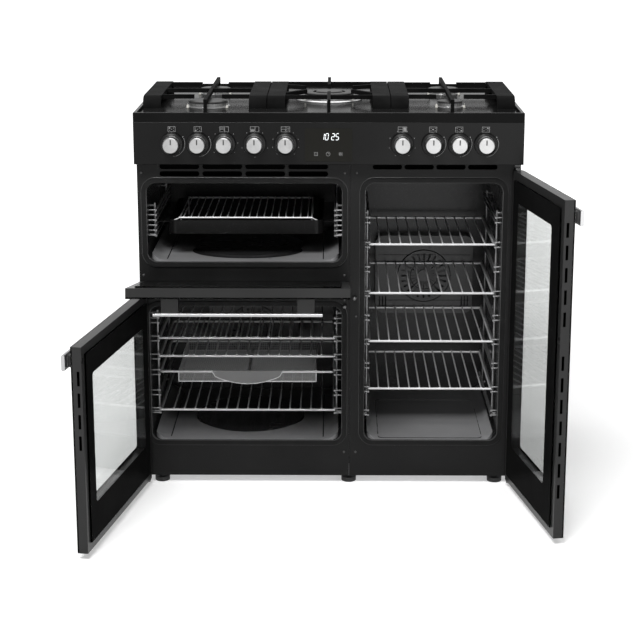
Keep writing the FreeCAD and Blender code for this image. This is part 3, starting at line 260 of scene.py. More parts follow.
# a door's sheet is painted outside, and blacker on the face that meets the oven
doorSheet = surface(0.017, 0.023, 0.32, grain=800, bump=0.04, strength=0.4, specular=0.14, frontOf=-0.2696,
    behindColor=grey(0.004), behindRough=0.3)
finishes = {
    "hobEnamel": surface(0.005, 0.008, 0.15, grain=160, bump=0.06, strength=0.07, tone=4, specular=0.012),
    "fasciaEnamel": surface(0.0035, 0.0055, 0.22, grain=500, bump=0.03, strength=0.3, specular=0.11),
    "framePaint": surface(0.0065, 0.010, 0.34, grain=700, bump=0.04, strength=0.4, specular=0.10),
    "sidePaint": surface(0.010, 0.015, 0.38, grain=900, bump=0.05, strength=0.5, specular=0.25),
    "ovenEnamel": surface(0.012, 0.018, 0.26, tint=1.03, grain=140, bump=0.08, strength=0.3,
        speckle=grey(0.09), fleck=0.2, specular=0.22),
    # oven floor plates: painted light on the front of each floor, and painted shade behind Y = -75 mm
    "floorPaintedLightAndShade": surface(0.185, 0.225, 0.30, tint=1.02, grain=140, bump=0.06, speckle=grey(0.34), fleck=0.16,
        specular=0.3, frontOf=-0.075, frontSoft=0.03, behindColor=grey(0.030, 1.02), behindRough=0.3),
    "galvanised": surface(0.36, 0.44, 0.42, tint=1.03, metal=0.9, roughSpread=0.08, spangle=0.6,
        spangleScale=70.0, spangleColor=grey(0.52, 1.04), grain=300, bump=0.03),
    # duct steel: near-black, painted shade behind the vent slots
    "ductSteelPaintedShade": surface(0.004, 0.006, 0.85, grain=300, bump=0.03, specular=0.02),
    "burnerAluminium": surface(0.30, 0.42, 0.36, metal=0.85, grain=900, bump=0.06, tone=30),
    "capEnamel": surface(0.010, 0.016, 0.38, grain=1100, bump=0.08, tone=20, specular=0.12),
    "castIron": surface(0.004, 0.008, 0.55, roughSpread=0.08, grain=1300, bump=0.25, strength=0.6, tone=18,
        specular=0.006),
    "chrome": surface(0.47, 0.55, 0.40, tint=1.01, metal=0.40, roughSpread=0.05, grain=600, bump=0.02, tone=14),
    # shelf ladders: a darker copy of the shelf chrome, painted shade at the sides of the cavities
    "ladderWirePaintedShade": surface(0.17, 0.23, 0.38, tint=1.01, metal=0.70, roughSpread=0.05, grain=600, bump=0.02,
        tone=14),
    "knobMetal": surface(0.31, 0.38, 0.30, metal=1.0, grain=1500, bump=0.02, strength=0.3, tone=40,
        frontOf=-0.3145, behindColor=grey(0.008), behindRough=0.30, specular=0.14),
    "spindleBrass": surface((0.55, 0.38, 0.15), (0.64, 0.46, 0.2), 0.3, metal=1.0, grain=800, bump=0.03),
    "tapBrass": surface((0.48, 0.34, 0.14), (0.58, 0.42, 0.2), 0.38, metal=1.0, grain=700, bump=0.05, tone=25),
    "switchPlastic": surface((0.62, 0.60, 0.54), (0.68, 0.66, 0.6), 0.45, grain=900, bump=0.04),
    "sealRubber": surface(0.005, 0.009, 0.70, grain=1200, bump=0.12, tone=30, specular=0.12),
    # opening beads: lighter than the enamel round them, a painted highlight
    "beadEnamelPaintedHighlight": surface(0.036, 0.050, 0.22, grain=900, bump=0.03, specular=0.45),
    # fans and fan motors: steel darkened as painted shade, for the dark behind the cover grilles
    "fanSteelPaintedShade": surface(0.05, 0.07, 0.40, metal=0.6, grain=500, bump=0.03),
    "elementSheath": surface((0.05, 0.048, 0.045), (0.08, 0.075, 0.07), 0.45, metal=0.6, grain=900, bump=0.05,
        tone=30),
    "bracketSteel": surface(0.10, 0.14, 0.36, metal=0.6, grain=700, bump=0.04),
    "footPlastic": surface(0.010, 0.015, 0.5, grain=900, bump=0.08, specular=0.3),
    "boxPlastic": surface(0.05, 0.065, 0.5, grain=900, bump=0.08),
    "displayGlass": surface((0.0085, 0.0083, 0.007), (0.0105, 0.0102, 0.0085), 0.10, roughSpread=0.02, grain=200,
        bump=0.01, specular=0.07),
    "doorGlass": surface((0.83, 0.84, 0.835), (0.85, 0.86, 0.855), 0.012, roughSpread=0.01, transmission=1.0,
        ior=1.12),
    "fritBlack": surface(0.005, 0.008, 0.16, grain=1500, bump=0.01, specular=0.0005),
    "printWhite": surface(0.15, 0.21, 0.5, grain=2000, bump=0.01),
    "pointerBlack": surface(0.012, 0.02, 0.4, grain=2000, bump=0.01),
    "clockLight": surface((0.86, 0.90, 0.92), (0.95, 0.98, 1.0), 0.4, glow=0.45),
    "touchPrint": surface(0.14, 0.18, 0.4),
    "ceramic": surface((0.46, 0.45, 0.42), (0.54, 0.53, 0.49), 0.35, grain=900, bump=0.03),
    "screwSteel": surface(0.40, 0.50, 0.32, metal=1.0, grain=900, bump=0.03),
    "screwBlack": surface(0.03, 0.045, 0.35, metal=0.3, grain=900, bump=0.03),
    "basketMesh": surface(0.17, 0.22, 0.42, metal=0.45, grain=900, bump=0.02),
    "basketSheet": surface(0.12, 0.15, 0.46, metal=0.4, grain=900, bump=0.02, specular=0.3),
    "panEnamel": surface(0.004, 0.007, 0.22, grain=160, bump=0.06, speckle=grey(0.08), fleck=0.18, specular=0.07),
    "coverEnamel": surface(0.030, 0.040, 0.30, tint=1.02, grain=200, bump=0.06, speckle=grey(0.16), fleck=0.18,
        specular=0.3),
}
for door in doorSwing:
    finishes[door + "DoorPaint"] = {**doorSheet, "door": door}
    finishes[door + "Handle"] = {**brushedHandle, "door": door}
materials = {name: makeMaterial(name, look) for name, look in finishes.items()}
print("finishes made", len(materials))

# finishes of the CAD nodes; finishOf adds the knobs and spindles, and the rest are chrome
nodesOf = {
    "galvanised": ("base_frame", "back_panel"), "sidePaint": ("side_panels",), "framePaint": ("front_frames",),
    "footPlastic": ("levelling_feet",), "hobEnamel": ("hob_tray",), "burnerAluminium": ("burner_heads",),
    "capEnamel": ("burner_caps",), "fasciaEnamel": ("control_panel",), "displayGlass": ("clock_display",),
    "castIron": ("pan_support_left", "pan_support_centre", "pan_support_right"), "tapBrass": ("gas_taps",),
    "switchPlastic": ("oven_switches",), "sealRubber": ("door_seals",), "ladderWirePaintedShade": ("shelf_ladders",),
    "ovenEnamel": ("upper_oven_liner", "main_oven_liner", "tall_oven_liner"), "panEnamel": ("grill_pan",),
    "coverEnamel": ("fan_covers",), "fanSteelPaintedShade": ("main_fan", "tall_fan", "fan_motors"),
    "elementSheath": ("heating_elements",), "bracketSteel": ("hinge_brackets_and_catches",),
    "boxPlastic": ("terminal_box",),
}
nodeFinish = {node: finish for finish, group in nodesOf.items() for node in group}
for door in doorSwing:
    nodeFinish[door + "_door_frame"] = door + "DoorPaint"
    nodeFinish[door + "_door_handle"] = door + "Handle"
    nodeFinish[door + "_door_glass"] = "doorGlass"


def finishOf(node):
    if node.startswith(("gas_knob", "oven_knob")):
        return "knobMetal"
    if node.startswith("gas_spindle"):
        return "spindleBrass"
    return nodeFinish.get(node, "chrome")


for name, nodeObject in nodes.items():
    nodeObject.data.materials.clear()
    nodeObject.data.materials.append(materials[finishOf(name)])
print("CAD nodes finished", len(nodes))


def turns(steps):
    return [2 * pi * step / steps for step in range(steps)]


# mesh helpers: the shapes they make are closed
def finishPiece(name, bm, finish, body, smooth=True, turn=None):
    bmesh.ops.remove_doubles(bm, verts=bm.verts, dist=0.000001)
    bmesh.ops.recalc_face_normals(bm, faces=bm.faces)
    mesh = bpy.data.meshes.new(name)
    bm.to_mesh(mesh)
    bm.free()
    if turn is not None:
        mesh.transform(turn)
    return placePiece(name, mesh, finish, body, smooth)


def placePiece(name, mesh, finish, body, smooth=True):
    mesh.materials.clear()
    mesh.materials.append(materials[finish])
    if smooth:
        mesh.shade_smooth()
        mesh.set_sharp_from_angle(angle=radians(35))
    piece = addObject(name, mesh)
    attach(piece, body)
    return piece


def prism(bm, outline, near, far):
    # closed plate between two Y values, its outline given as (x, z) in millimetres
    front, back = ([bm.verts.new((x * mm, y * mm, z * mm)) for x, z in outline] for y in (near, far))
    bm.faces.new(front)
    bm.faces.new(back[::-1])
    for index in range(len(outline)):
        follow = (index + 1) % len(outline)
        bm.faces.new([front[follow], front[index], back[index], back[follow]])


def rectangle(bm, x0, x1, z0, z1, near, far):
    prism(bm, [(x0, z0), (x1, z0), (x1, z1), (x0, z1)], near, far)


def disc(bm, x, z, radius, near, far, steps=16):
    prism(bm, [(x + radius * cos(a), z + radius * sin(a)) for a in turns(steps)], near, far)


def arc(bm, x, z, radius, wide, start, end, near, far, steps=12):
    angles = [radians(start + (end - start) * step / steps) for step in range(steps + 1)]
    outer = [(x + (radius + wide / 2) * cos(a), z + (radius + wide / 2) * sin(a)) for a in angles]
    inner = [(x + (radius - wide / 2) * cos(a), z + (radius - wide / 2) * sin(a)) for a in angles]
    prism(bm, outer + inner[::-1], near, far)


def frameOutline(bm, x0, x1, z0, z1, line, near, far):
    rectangle(bm, x0, x1, z0, z0 + line, near, far)
    rectangle(bm, x0, x1, z1 - line, z1, near, far)
    rectangle(bm, x0, x0 + line, z0 + line, z1 - line, near, far)
    rectangle(bm, x1 - line, x1, z0 + line, z1 - line, near, far)


def roundedLoop(x0, x1, z0, z1, radius, perCorner=6):
    corners = ((x1 - radius, z0 + radius, -90), (x1 - radius, z1 - radius, 0),
               (x0 + radius, z1 - radius, 90), (x0 + radius, z0 + radius, 180))
    points = []
    for x, z, start in corners:
        for step in range(perCorner + 1):
            angle = radians(start + 90 * step / perCorner)
            points.append((x + radius * cos(angle), z + radius * sin(angle)))
    return points


def bridge(bm, rings, closed):
    # walls between rings of as many points each, joined end to end when closed, and otherwise capped
    count = len(rings[0])
    for lower, upper in list(zip(rings, rings[1:])) + ([(rings[-1], rings[0])] if closed else []):
        for index in range(count):
            after = (index + 1) % count
            bm.faces.new([lower[index], lower[after], upper[after], upper[index]])
    if not closed:
        bm.faces.new(rings[0][::-1])
        bm.faces.new(rings[-1])


def ringPlate(bm, outer, inner, near, far):
    # closed plate with an opening, from two loops that have as many points as each other
    bridge(bm, [[bm.verts.new((x * mm, y * mm, z * mm)) for x, z in loop]
                for y, loop in ((near, outer), (near, inner), (far, inner), (far, outer))], True)


def lathe(bm, profile, centre, axis, steps=32):
    # turned shape: profile is (radius, height along the axis) in millimetres, closed at its poles
    centre = Vector(centre) * mm
    axis = Vector(axis).normalized()
    side = axis.orthogonal().normalized()
    other = axis.cross(side)
    rings = []
    for radius, height in profile:
        middle = centre + axis * height * mm
        if radius == 0:
            rings.append([bm.verts.new(middle)])
            continue
        rings.append([bm.verts.new(middle + (side * cos(a) + other * sin(a)) * radius * mm)
                      for a in turns(steps)])
    for lower, upper in zip(rings, rings[1:]):
        for step in range(steps):
            after = (step + 1) % steps
            corners = [lower[step % len(lower)], lower[after % len(lower)], upper[after % len(upper)],
                       upper[step % len(upper)]]
            bm.faces.new(list(dict.fromkeys(corners)))
    for ring, flip in ((rings[0], True), (rings[-1], False)):
        if len(ring) > 1:
            bm.faces.new(ring[::-1] if flip else ring)


def tube(bm, points, radius, sides=8, closed=False):
    # round bar along points in millimetres
    path = [Vector(p) * mm for p in points]
    count = len(path)
    rings = []
    for index, point in enumerate(path):
        before = path[index - 1] if closed or index else point
        after = path[(index + 1) % count] if closed or index < count - 1 else point
        run = (after - before).normalized()
        side = run.cross(Vector((0, 0, 1)))
        if side.length < 0.01:
            side = run.cross(Vector((0, 1, 0)))
        side.normalize()
        other = side.cross(run)
        rings.append([bm.verts.new(point + (side * cos(a) + other * sin(a)) * radius * mm)
                      for a in turns(sides)])
    bridge(bm, rings, closed)


def boxSolid(bm, x0, x1, y0, y1, z0, z1):
    rectangle(bm, x0, x1, z0, z1, y0, y1)


def printers(bm, near, far):
    # the flat shapes of printed marks, all between the same two depths
    return [partial(shape, bm, near=near, far=far) for shape in (rectangle, frameOutline, disc, arc)]


def shift(x, y, z):
    return Matrix.Translation(Vector((x, y, z)) * mm)


# geometry node trees
def newTree(name, **inputs):
    tree = bpy.data.node_groups.new(name, "GeometryNodeTree")
    tree.interface.new_socket(name="Geometry", in_out="INPUT", socket_type="NodeSocketGeometry")
    for label, kind in inputs.items():
        tree.interface.new_socket(name=label, in_out="INPUT", socket_type="NodeSocket" + kind)
    tree.interface.new_socket(name="Geometry", in_out="OUTPUT", socket_type="NodeSocketGeometry")
    return tree, tree.nodes.new("NodeGroupInput"), tree.nodes.new("NodeGroupOutput")


def closeTree(tree, entry, leave, points, instance, rotation=None, scale=None):
    # one instance on each point, made real and given its material
    scatter = tree.nodes.new("GeometryNodeInstanceOnPoints")
    realize = tree.nodes.new("GeometryNodeRealizeInstances")
    paint = tree.nodes.new("GeometryNodeSetMaterial")
    for source, socket in (
            (points, scatter.inputs["Points"]), (instance, scatter.inputs["Instance"]),
            (rotation, scatter.inputs["Rotation"]), (scale, scatter.inputs["Scale"]),
            (scatter.outputs[0], realize.inputs[0]), (realize.outputs[0], paint.inputs["Geometry"]),
            (entry.outputs["Material"], paint.inputs["Material"]), (paint.outputs[0], leave.inputs[0])):
        if source is not None:
            tree.links.new(source, socket)
    return tree


def sizedBar(tree, entry, labels):
    # a bar as long on each axis as the input named for it
    size = tree.nodes.new("ShaderNodeCombineXYZ")
    bar = tree.nodes.new("GeometryNodeMeshCube")
    for axis, label in zip("XYZ", labels):
        tree.links.new(entry.outputs[label], size.inputs[axis])
    tree.links.new(size.outputs[0], bar.inputs["Size"])
    return bar.outputs[0]


def facingNode(tree, axis, way):
    # turns an instance so that this axis of it points along the vector
    aim = tree.nodes.new("FunctionNodeAlignRotationToVector")
    aim.axis = axis
    tree.links.new(way, aim.inputs["Vector"])
    return aim.outputs[0]


def grown(name, tree, values, startMesh=None):
    # runs a tree once and gives back the plain mesh it makes
    holder = addObject(name, startMesh or bpy.data.meshes.new(name + "Start"))
    modifier = holder.modifiers.new("tree", "NODES")
    modifier.node_group = tree
    sockets = {item.name: item.identifier for item in tree.interface.items_tree if item.in_out == "INPUT"}
    for label, value in values.items():
        modifier[sockets[label]] = value
    depsgraph = bpy.context.evaluated_depsgraph_get()
    mesh = bpy.data.meshes.new_from_object(holder.evaluated_get(depsgraph))
    holder.modifiers.clear()
    bpy.data.objects.remove(holder)
    return mesh


def joinMeshes(name, meshes):
    bm = bmesh.new()
    for mesh in meshes:
        bm.from_mesh(mesh)
    joined = bpy.data.meshes.new(name)
    bm.to_mesh(joined)
    bm.free()
    return joined


def buildToothRing():
    # ribs round a burner body, with the flame ports as the gaps between them
    tree, entry, leave = newTree("toothRing", Count="Int", Radius="Float", Width="Float", Depth="Float",
                                 Height="Float", Material="Material")
    ring = tree.nodes.new("GeometryNodeMeshCircle")
    place = tree.nodes.new("GeometryNodeInputPosition")
    tree.links.new(entry.outputs["Count"], ring.inputs["Vertices"])
    tree.links.new(entry.outputs["Radius"], ring.inputs["Radius"])
    return closeTree(tree, entry, leave, ring.outputs[0], sizedBar(tree, entry, ("Depth", "Width", "Height")),
                     facingNode(tree, "X", place.outputs[0]))


def buildWireRow():
    # one row of thin square bars side by side
    tree, entry, leave = newTree("wireRow", Count="Int", Pitch="Float", Length="Float", Wire="Float",
                                 Material="Material")
    row = tree.nodes.new("GeometryNodeMeshLine")
    step = tree.nodes.new("ShaderNodeCombineXYZ")
    tree.links.new(entry.outputs["Count"], row.inputs["Count"])
    tree.links.new(entry.outputs["Pitch"], step.inputs["X"])
    tree.links.new(step.outputs[0], row.inputs["Offset"])
    return closeTree(tree, entry, leave, row.outputs[0], sizedBar(tree, entry, ("Wire", "Length", "Wire")))


def buildFixings():
    # one screw on each point, turned to face the way the point's attribute says
    tree, entry, leave = newTree("fixings", Screw="Object", Size="Float", Material="Material")
    screw = tree.nodes.new("GeometryNodeObjectInfo")
    facing = tree.nodes.new("GeometryNodeInputNamedAttribute")
    facing.data_type = "FLOAT_VECTOR"
    facing.inputs["Name"].default_value = "facing"
    tree.links.new(entry.outputs["Screw"], screw.inputs[0])
    return closeTree(tree, entry, leave, entry.outputs[0], screw.outputs["Geometry"],
                     facingNode(tree, "Z", facing.outputs[0]), entry.outputs["Size"])


toothRing = buildToothRing()
wireRow = buildWireRow()
fixings = buildFixings()
print("trees built")

# burners: flame ports, spark electrodes and flame sensors
burnerLook = {
    "top": 883.0,
    "burners": [(-289, -121, 48.0, 10.0), (-289, 142, 38.0, 10.0), (289, -121, 31.0, 10.0),
                (289, 142, 38.0, 10.0), (0, 20, 62.0, 15.0)],
    "toothPitch": 6.0, "toothWidth": 3.4, "toothDepth": 3.2, "toothLift": 3.9, "wall": 3.0, "proud": 0.2,
    "shorter": 4.4, "electrodeGap": 9.0,
    "electrodes": ((215, 0.5, 3.0), (325, -1.0, 4.5)),  # angle, height over the burner, length of the tip
}


def makeBurnerPorts():
    look = burnerLook
    meshes = []
    for x, y, radius, height in look["burners"]:
        wall = radius - look["wall"]
        tall = height - look["shorter"]
        mesh = grown("ports", toothRing, {
            "Count": round(2 * pi * wall / look["toothPitch"]), "Radius": (wall + look["proud"]) * mm,
            "Width": look["toothWidth"] * mm, "Depth": look["toothDepth"] * mm,
            "Height": tall * mm, "Material": materials["burnerAluminium"]})
        mesh.transform(shift(x, y, look["top"] + look["toothLift"] + tall / 2))
        meshes.append(mesh)
    placePiece("burnerPorts", joinMeshes("burnerPorts", meshes), "burnerAluminium", "cooker",
               smooth=False)


def makeElectrodes():
    pots = bmesh.new()
    tips = bmesh.new()
    for x, y, radius, height in burnerLook["burners"]:
        for turn, over, tip in burnerLook["electrodes"]:
            angle = radians(turn)
            tall = height + over
            reach = radius + burnerLook["electrodeGap"]
            place = (x + reach * cos(angle), y + reach * sin(angle), burnerLook["top"])
            lathe(pots, [(0, 0), (3.6, 0), (3.6, 2.0), (2.6, 2.6), (2.6, tall - 4.0), (2.0, tall - 3.0),
                         (0, tall - 3.0)], place, (0, 0, 1), 14)
            lathe(tips, [(0, tall - 3.2), (0.9, tall - 3.2), (0.9, tall + tip - 4.0), (0, tall + tip - 3.4)],
                  place, (0, 0, 1), 10)
    finishPiece("electrodePots", pots, "ceramic", "cooker")
    finishPiece("electrodeTips", tips, "screwSteel", "cooker")


makeBurnerPorts()
makeElectrodes()
print("burners detailed")

# control panel: printed marks, clock, touch marks
panelLook = {
    "face": -300.0, "proud": 0.12, "knobZ": 818.5, "markZ": 852.0, "markWide": 17.6, "markTall": 12.6,
    "line": 0.9, "stemTop": 845.0, "stemLow": 839.0, "spotSteps": (4.6, 2.7), "spotSizes": (0.9, 1.9),
    "ovenWider": 1.5, "divider": 0.6, "ovenDial": 31.0, "dotSize": 0.9, "gasDial": 30.0, "gasArc": (-75, 25),
    "gasEnds": ((32, 1.3), (-82, 0.8)),  # angle and size of the dot past each end of the arc
    # name: angle of the first dot, of the last one, and how many
    "dots": {"grill": (130, -130, 7), "main_oven": (180, -180, 6), "function": (140, -140, 9),
             "tall_oven": (150, -150, 8)},
}
gasKnobs = {"rear_left": (-361.0, (-1, 1)), "front_left": (-301.0, (-1, -1)), "wok": (240.0, (0, 0)),
            "front_right": (300.0, (1, -1)), "rear_right": (361.0, (1, 1))}
ovenKnobs = {"grill": -240.0, "main_oven": -170.0, "function": -99.0, "tall_oven": 169.5}


def makePanelPrint():
    look = panelLook
    bm = bmesh.new()
    bar, frameMark, spot, curve = printers(bm, look["face"] - look["proud"], look["face"] + 0.05)
    z, knobZ, line = look["markZ"], look["knobZ"], look["line"]
    halfWide = look["markWide"] / 2
    halfTall = look["markTall"] / 2
    stem = (look["stemLow"], look["stemTop"])
    stepX, stepZ = look["spotSteps"]
    small, large = look["spotSizes"]

    def dialSpot(x, radius, degrees, size, steps):
        angle = radians(degrees)
        spot(x + radius * cos(angle), knobZ + radius * sin(angle), size, steps=steps)

    for x, place in gasKnobs.values():
        frameMark(x - halfWide, x + halfWide, z - halfTall, z + halfTall, line)
        for spotX, spotZ in ((-1, -1), (1, -1), (-1, 1), (1, 1), (0, 0)):
            spot(x + spotX * stepX, z + spotZ * stepZ, large if (spotX, spotZ) == place else small)
        bar(x - line / 2, x + line / 2, *stem)
    for name, x in ovenKnobs.items():
        left = x - halfWide - look["ovenWider"]
        right = x + halfWide + look["ovenWider"]
        divide = x + look["divider"]
        frameMark(left, right, z - halfTall, z + halfTall, line)
        bar(divide, divide + line, z - halfTall + line, z + halfTall - line)
        bar(left + line, divide, z - 0.2, z - 0.2 + line)
        bar(x - line / 2, x + line / 2, *stem)
        if name == "grill":
            for step in range(4):
                bar(left + 2.6 + 1.9 * step, left + 3.4 + 1.9 * step, z + 1.8, z + 4.2)
        if name == "main_oven":
            bar(left + line + 0.8, x - 0.2, z - halfTall + line + 0.7, z - 0.9)
        if name == "function":
            for turn in range(0, 360, 90):
                curve(x + 5.2, z, 2.4, 1.0, turn, turn + 60, steps=5)
        if name == "tall_oven":
            bar(divide + line + 0.8, right - line - 0.8, z - halfTall + line + 0.8, z + halfTall - line - 0.8)
    for name, (start, end, count) in look["dots"].items():
        for step in range(count):
            degrees = 90 + start + (end - start) * step / (count - 1)
            dialSpot(ovenKnobs[name], look["ovenDial"], degrees, look["dotSize"], 10)
    for x, _ in gasKnobs.values():
        curve(x, knobZ, look["gasDial"], line, *look["gasArc"], steps=18)
        for degrees, size in look["gasEnds"]:
            dialSpot(x, look["gasDial"], degrees, size, 12)
    finishPiece("panelPrint", bm, "printWhite", "cooker", smooth=False)


clockLook = {"digits": "1025", "left": -16.6, "middle": 835.0, "tall": 14.5, "wide": 6.4, "gap": 3.2,
             "split": 4.6, "segment": 1.3, "apart": 0.3, "slant": 0.12, "front": -299.97, "back": -299.85,
             "touchZ": 795.0, "touchHalf": 4, "touchLine": 0.9}
segmentsOf = {"0": "abcdef", "1": "bc", "2": "abged", "5": "afgcd"}


def segmentOutline(letter):
    half = clockLook["tall"] / 2
    wide = clockLook["wide"]
    thick = clockLook["segment"] / 2
    apart = clockLook["apart"]
    across = {"a": (0, wide, half), "g": (0, wide, 0), "d": (0, wide, -half)}
    upright = {"f": (0, 0, half), "b": (wide, 0, half), "e": (0, -half, 0), "c": (wide, -half, 0)}
    if letter in across:
        x0, x1, z = across[letter]
        x0, x1 = x0 + apart, x1 - apart
        return [(x0, z), (x0 + thick, z - thick), (x1 - thick, z - thick), (x1, z), (x1 - thick, z + thick),
                (x0 + thick, z + thick)]
    x, z0, z1 = upright[letter]
    z0, z1 = z0 + apart, z1 - apart
    return [(x, z0), (x + thick, z0 + thick), (x + thick, z1 - thick), (x, z1), (x - thick, z1 - thick),
            (x - thick, z0 + thick)]


def makeClock():
    bm = bmesh.new()
    look = clockLook
    left = look["left"]
    for place, digit in enumerate(look["digits"]):
        for letter in segmentsOf[digit]:
            outline = [(left + x + z * look["slant"], look["middle"] + z) for x, z in segmentOutline(letter)]
            prism(bm, outline, look["front"], look["back"])
        left += look["wide"] + look["gap"] + (look["split"] if place == 1 else 0)
    finishPiece("clockDigits", bm, "clockLight", "cooker", smooth=False)
    marks = bmesh.new()
    bar, frameMark, _, curve = printers(marks, look["front"], look["back"])
    z, half, line = look["touchZ"], look["touchHalf"], look["touchLine"]
    frameMark(-33, -25, z - half, z + half, line)
    bar(-30.5, -27.5, z - 0.4, z + 0.4)
    curve(-1, z, 4.4, line, 0, 350, steps=24)
    bar(-1.4, -0.6, z, z + 3.0)
    bar(-0.6, 1.6, z, z + 0.8)
    for step in range(3):
        bar(24.5 + step * 3.0, 25.5 + step * 3.0, z - half, z + half)
    bar(23.5, 32.5, z - 0.5, z + 0.5)
    finishPiece("touchMarks", marks, "touchPrint", "cooker", smooth=False)


knobLook = {"face": -337.0, "line": 3.0, "long": 12.5, "start": 2.0, "lift": 0.12}


def makeKnobPointers():
    allKnobs = [("gas", place, x) for place, (x, _) in gasKnobs.items()]
    allKnobs += [("oven", place, x) for place, x in ovenKnobs.items()]
    for kind, place, x in allKnobs:
        bm = bmesh.new()
        half = knobLook["line"] / 2
        low = panelLook["knobZ"] + knobLook["start"]
        top = low + knobLook["long"]
        outline = [(x - half, low), (x + half, low), (x + half, top - half), (x, top), (x - half, top - half)]
        prism(bm, outline, knobLook["face"] - knobLook["lift"], knobLook["face"] + 0.1)
        finishPiece("pointer_%s_%s" % (kind, place), bm, "pointerBlack", "knob_" + place, smooth=False)


makePanelPrint()
makeClock()
makeKnobPointers()
print("control panel detailed")

# doors: printed borders behind the panes, made shut and then swung open
doorLook = {
    "main": {"outer": (-448, 48, -4, 458), "inner": (-429, 29, 15, 439), "window": (-390, -11, 94, 387)},
    "tall": {"outer": (52, 448, -4, 754), "inner": (71, 429, 15, 735), "window": (128, 388, 97, 686)},
    "grill": {"outer": (-446.5, 49.5, 466, 754), "inner": (-427.5, 30.5, 506, 735),
              "window": (-390, -12, 540, 680)},
}
doorFace, doorBack, paneThick = -297.0, -269.0, 4.0


def shrink(box, edge):
    return box[0] + edge, box[1] - edge, box[2] + edge, box[3] - edge


def makeDoorBorders():
    # black print: just inside the back of the outer pane, and on the oven's side of the inner one
    behindPane = doorFace + paneThick
    for name, door in doorLook.items():
        window = roundedLoop(*door["window"], 8.0)
        for side, box, edge, near, far in (
                ("Outer", door["outer"], 1.4, behindPane - 0.3, behindPane - 0.08),
                ("Inner", door["inner"], 0.6, doorBack - 0.05, doorBack + 0.15)):
            bm = bmesh.new()
            ringPlate(bm, roundedLoop(*shrink(box, edge), 3.0), window, near, far)
            finishPiece(name + "Border" + side, bm, "fritBlack", name + "_door", smooth=False,
                        turn=doorTurn(name))


makeDoorBorders()
print("doors detailed")

# crisper basket: woven floor and walls in the wire frame
basketLook = {"left": -408.5, "right": 13.5, "front": -213.0, "depth": 284.0, "level": 248.0, "wide": 335.0,
              "drop": 26.0, "rail": 3.0, "wire": 0.9, "pitch": 5.0, "bar": 0.8, "rise": 2.0, "spine": 3.0,
              "plateHalf": 87.0, "plateDrop": 33.0, "plateIn": 8, "plateSide": 14, "plateEdge": 1.3, "thick": 1.5}


def makeBasket():
    look = basketLook
    frameBars = bmesh.new()
    x0, x1 = look["left"], look["right"]
    y0, y1 = look["front"], look["front"] + look["depth"]
    level = look["level"]
    loop = [(x, y, level) for x, y in roundedLoop(x0, x1, y0, y1, 6.0)]
    tube(frameBars, loop, look["rail"], 10, closed=True)
    middle = (x0 + x1) / 2
    half = look["wide"] / 2
    low = level - look["drop"]
    bar, rise, spine = look["bar"], look["rise"], look["spine"]
    for x in (middle - half, middle + half):
        boxSolid(frameBars, x - bar, x + bar, y0, y1, low, level + rise)
    for y in (y0 + bar, y1 - bar):
        boxSolid(frameBars, middle - half, middle + half, y - bar, y + bar, level - 1.5, level + rise)
        boxSolid(frameBars, middle - half, middle + half, y - bar, y + bar, low, low + 2.5)
    boxSolid(frameBars, middle - spine, middle + spine, y0, y1, low, low + spine)
    plate, inset, side = look["plateHalf"], look["plateIn"], look["plateSide"]
    top = level + look["rail"]
    curve = []
    for step in range(25):
        share = step / 24
        x = middle - plate + inset + 2 * (plate - inset) * share
        curve.append((x, top - side - (look["plateDrop"] - side) * sin(pi * share) ** 0.8))
    outline = [(middle - plate, top)] + curve + [(middle + plate, top)]
    tube(frameBars, [(x, y0 - look["rail"] + 0.7, z) for x, z in outline], look["plateEdge"])
    sheet = bmesh.new()
    prism(sheet, outline, y0 - look["rail"], y0 - look["rail"] + look["thick"])
    finishPiece("basketPlate", sheet, "basketSheet", "crisper_basket")
    piece = finishPiece("basketFrame", frameBars, "chrome", "crisper_basket")
    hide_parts("crisper_basket")
    across = round(look["wide"] / look["pitch"])
    along = round(look["depth"] / look["pitch"])
    upright = Matrix.Rotation(radians(90), 4, "X")
    sideways = Matrix.Rotation(radians(90), 4, "Z")
    start = middle - half + look["pitch"] / 2
    # each row: how many wires, how long, and where
    rows = [(across, look["depth"], shift(start, (y0 + y1) / 2, low + 1.2)),
            (along, look["wide"], shift(middle, y0 + 2.0, low + 1.9) @ sideways)]
    for y in (y0 + bar, y1 - bar):
        rows.append((across, look["drop"], shift(start, y, level - look["drop"] / 2) @ upright))
        rows += [(1, look["wide"], shift(middle, y + 0.6, low + step * look["pitch"]) @ sideways)
                 for step in range(1, 5)]
    meshes = []
    for count, length, place in rows:
        meshes.append(grown("basketWires", wireRow, {
            "Count": count, "Pitch": look["pitch"] * mm, "Length": length * mm, "Wire": look["wire"] * mm,
            "Material": materials["basketMesh"]}))
        meshes[-1].transform(place)
    placePiece("basketMesh", joinMeshes("basketMesh", meshes), "basketMesh", "crisper_basket",
               smooth=False)


makeBasket()
print("basket woven")

# oven floors: each rises to the walls at both sides, and has ribs and mostly an oval pressed in it
floorLook = {"rib": 1.6, "sideRibs": ((533.0, 110.0), (90.0, 130.0)), "ribX": (-383.5, -12.5), "ribFront": -240,
             "loopRib": (121, 374, -250, 68, 14.0), "loopZ": 91.2, "front": -260.0, "corner": 20.0,
             "under": 0.1, "top": 0.6, "lip": 0.985, "flat": 0.90, "fade": 0.09, "pointStep": 16,
             "dish": ((0.984, -0.1), (0.984, 0.3), (0.93, 0.1), (0.90, 0.05)),
             "rise": ((0.0, 15.0), (5.0, 11.0), (12.0, 5.5), (20.0, 2.0), (30.0, 0.3), (36.0, 0.0)),
             "cavities": {"grill": {"sides": (-419, 24), "floor": 533, "back": 142, "oval": (-135, 136, 95)},
                          "main": {"sides": (-419, 24), "floor": 90, "back": 170, "oval": (-75, 138, 115)},
                          "tall": {"sides": (94, 400), "floor": 91, "back": 170}}}


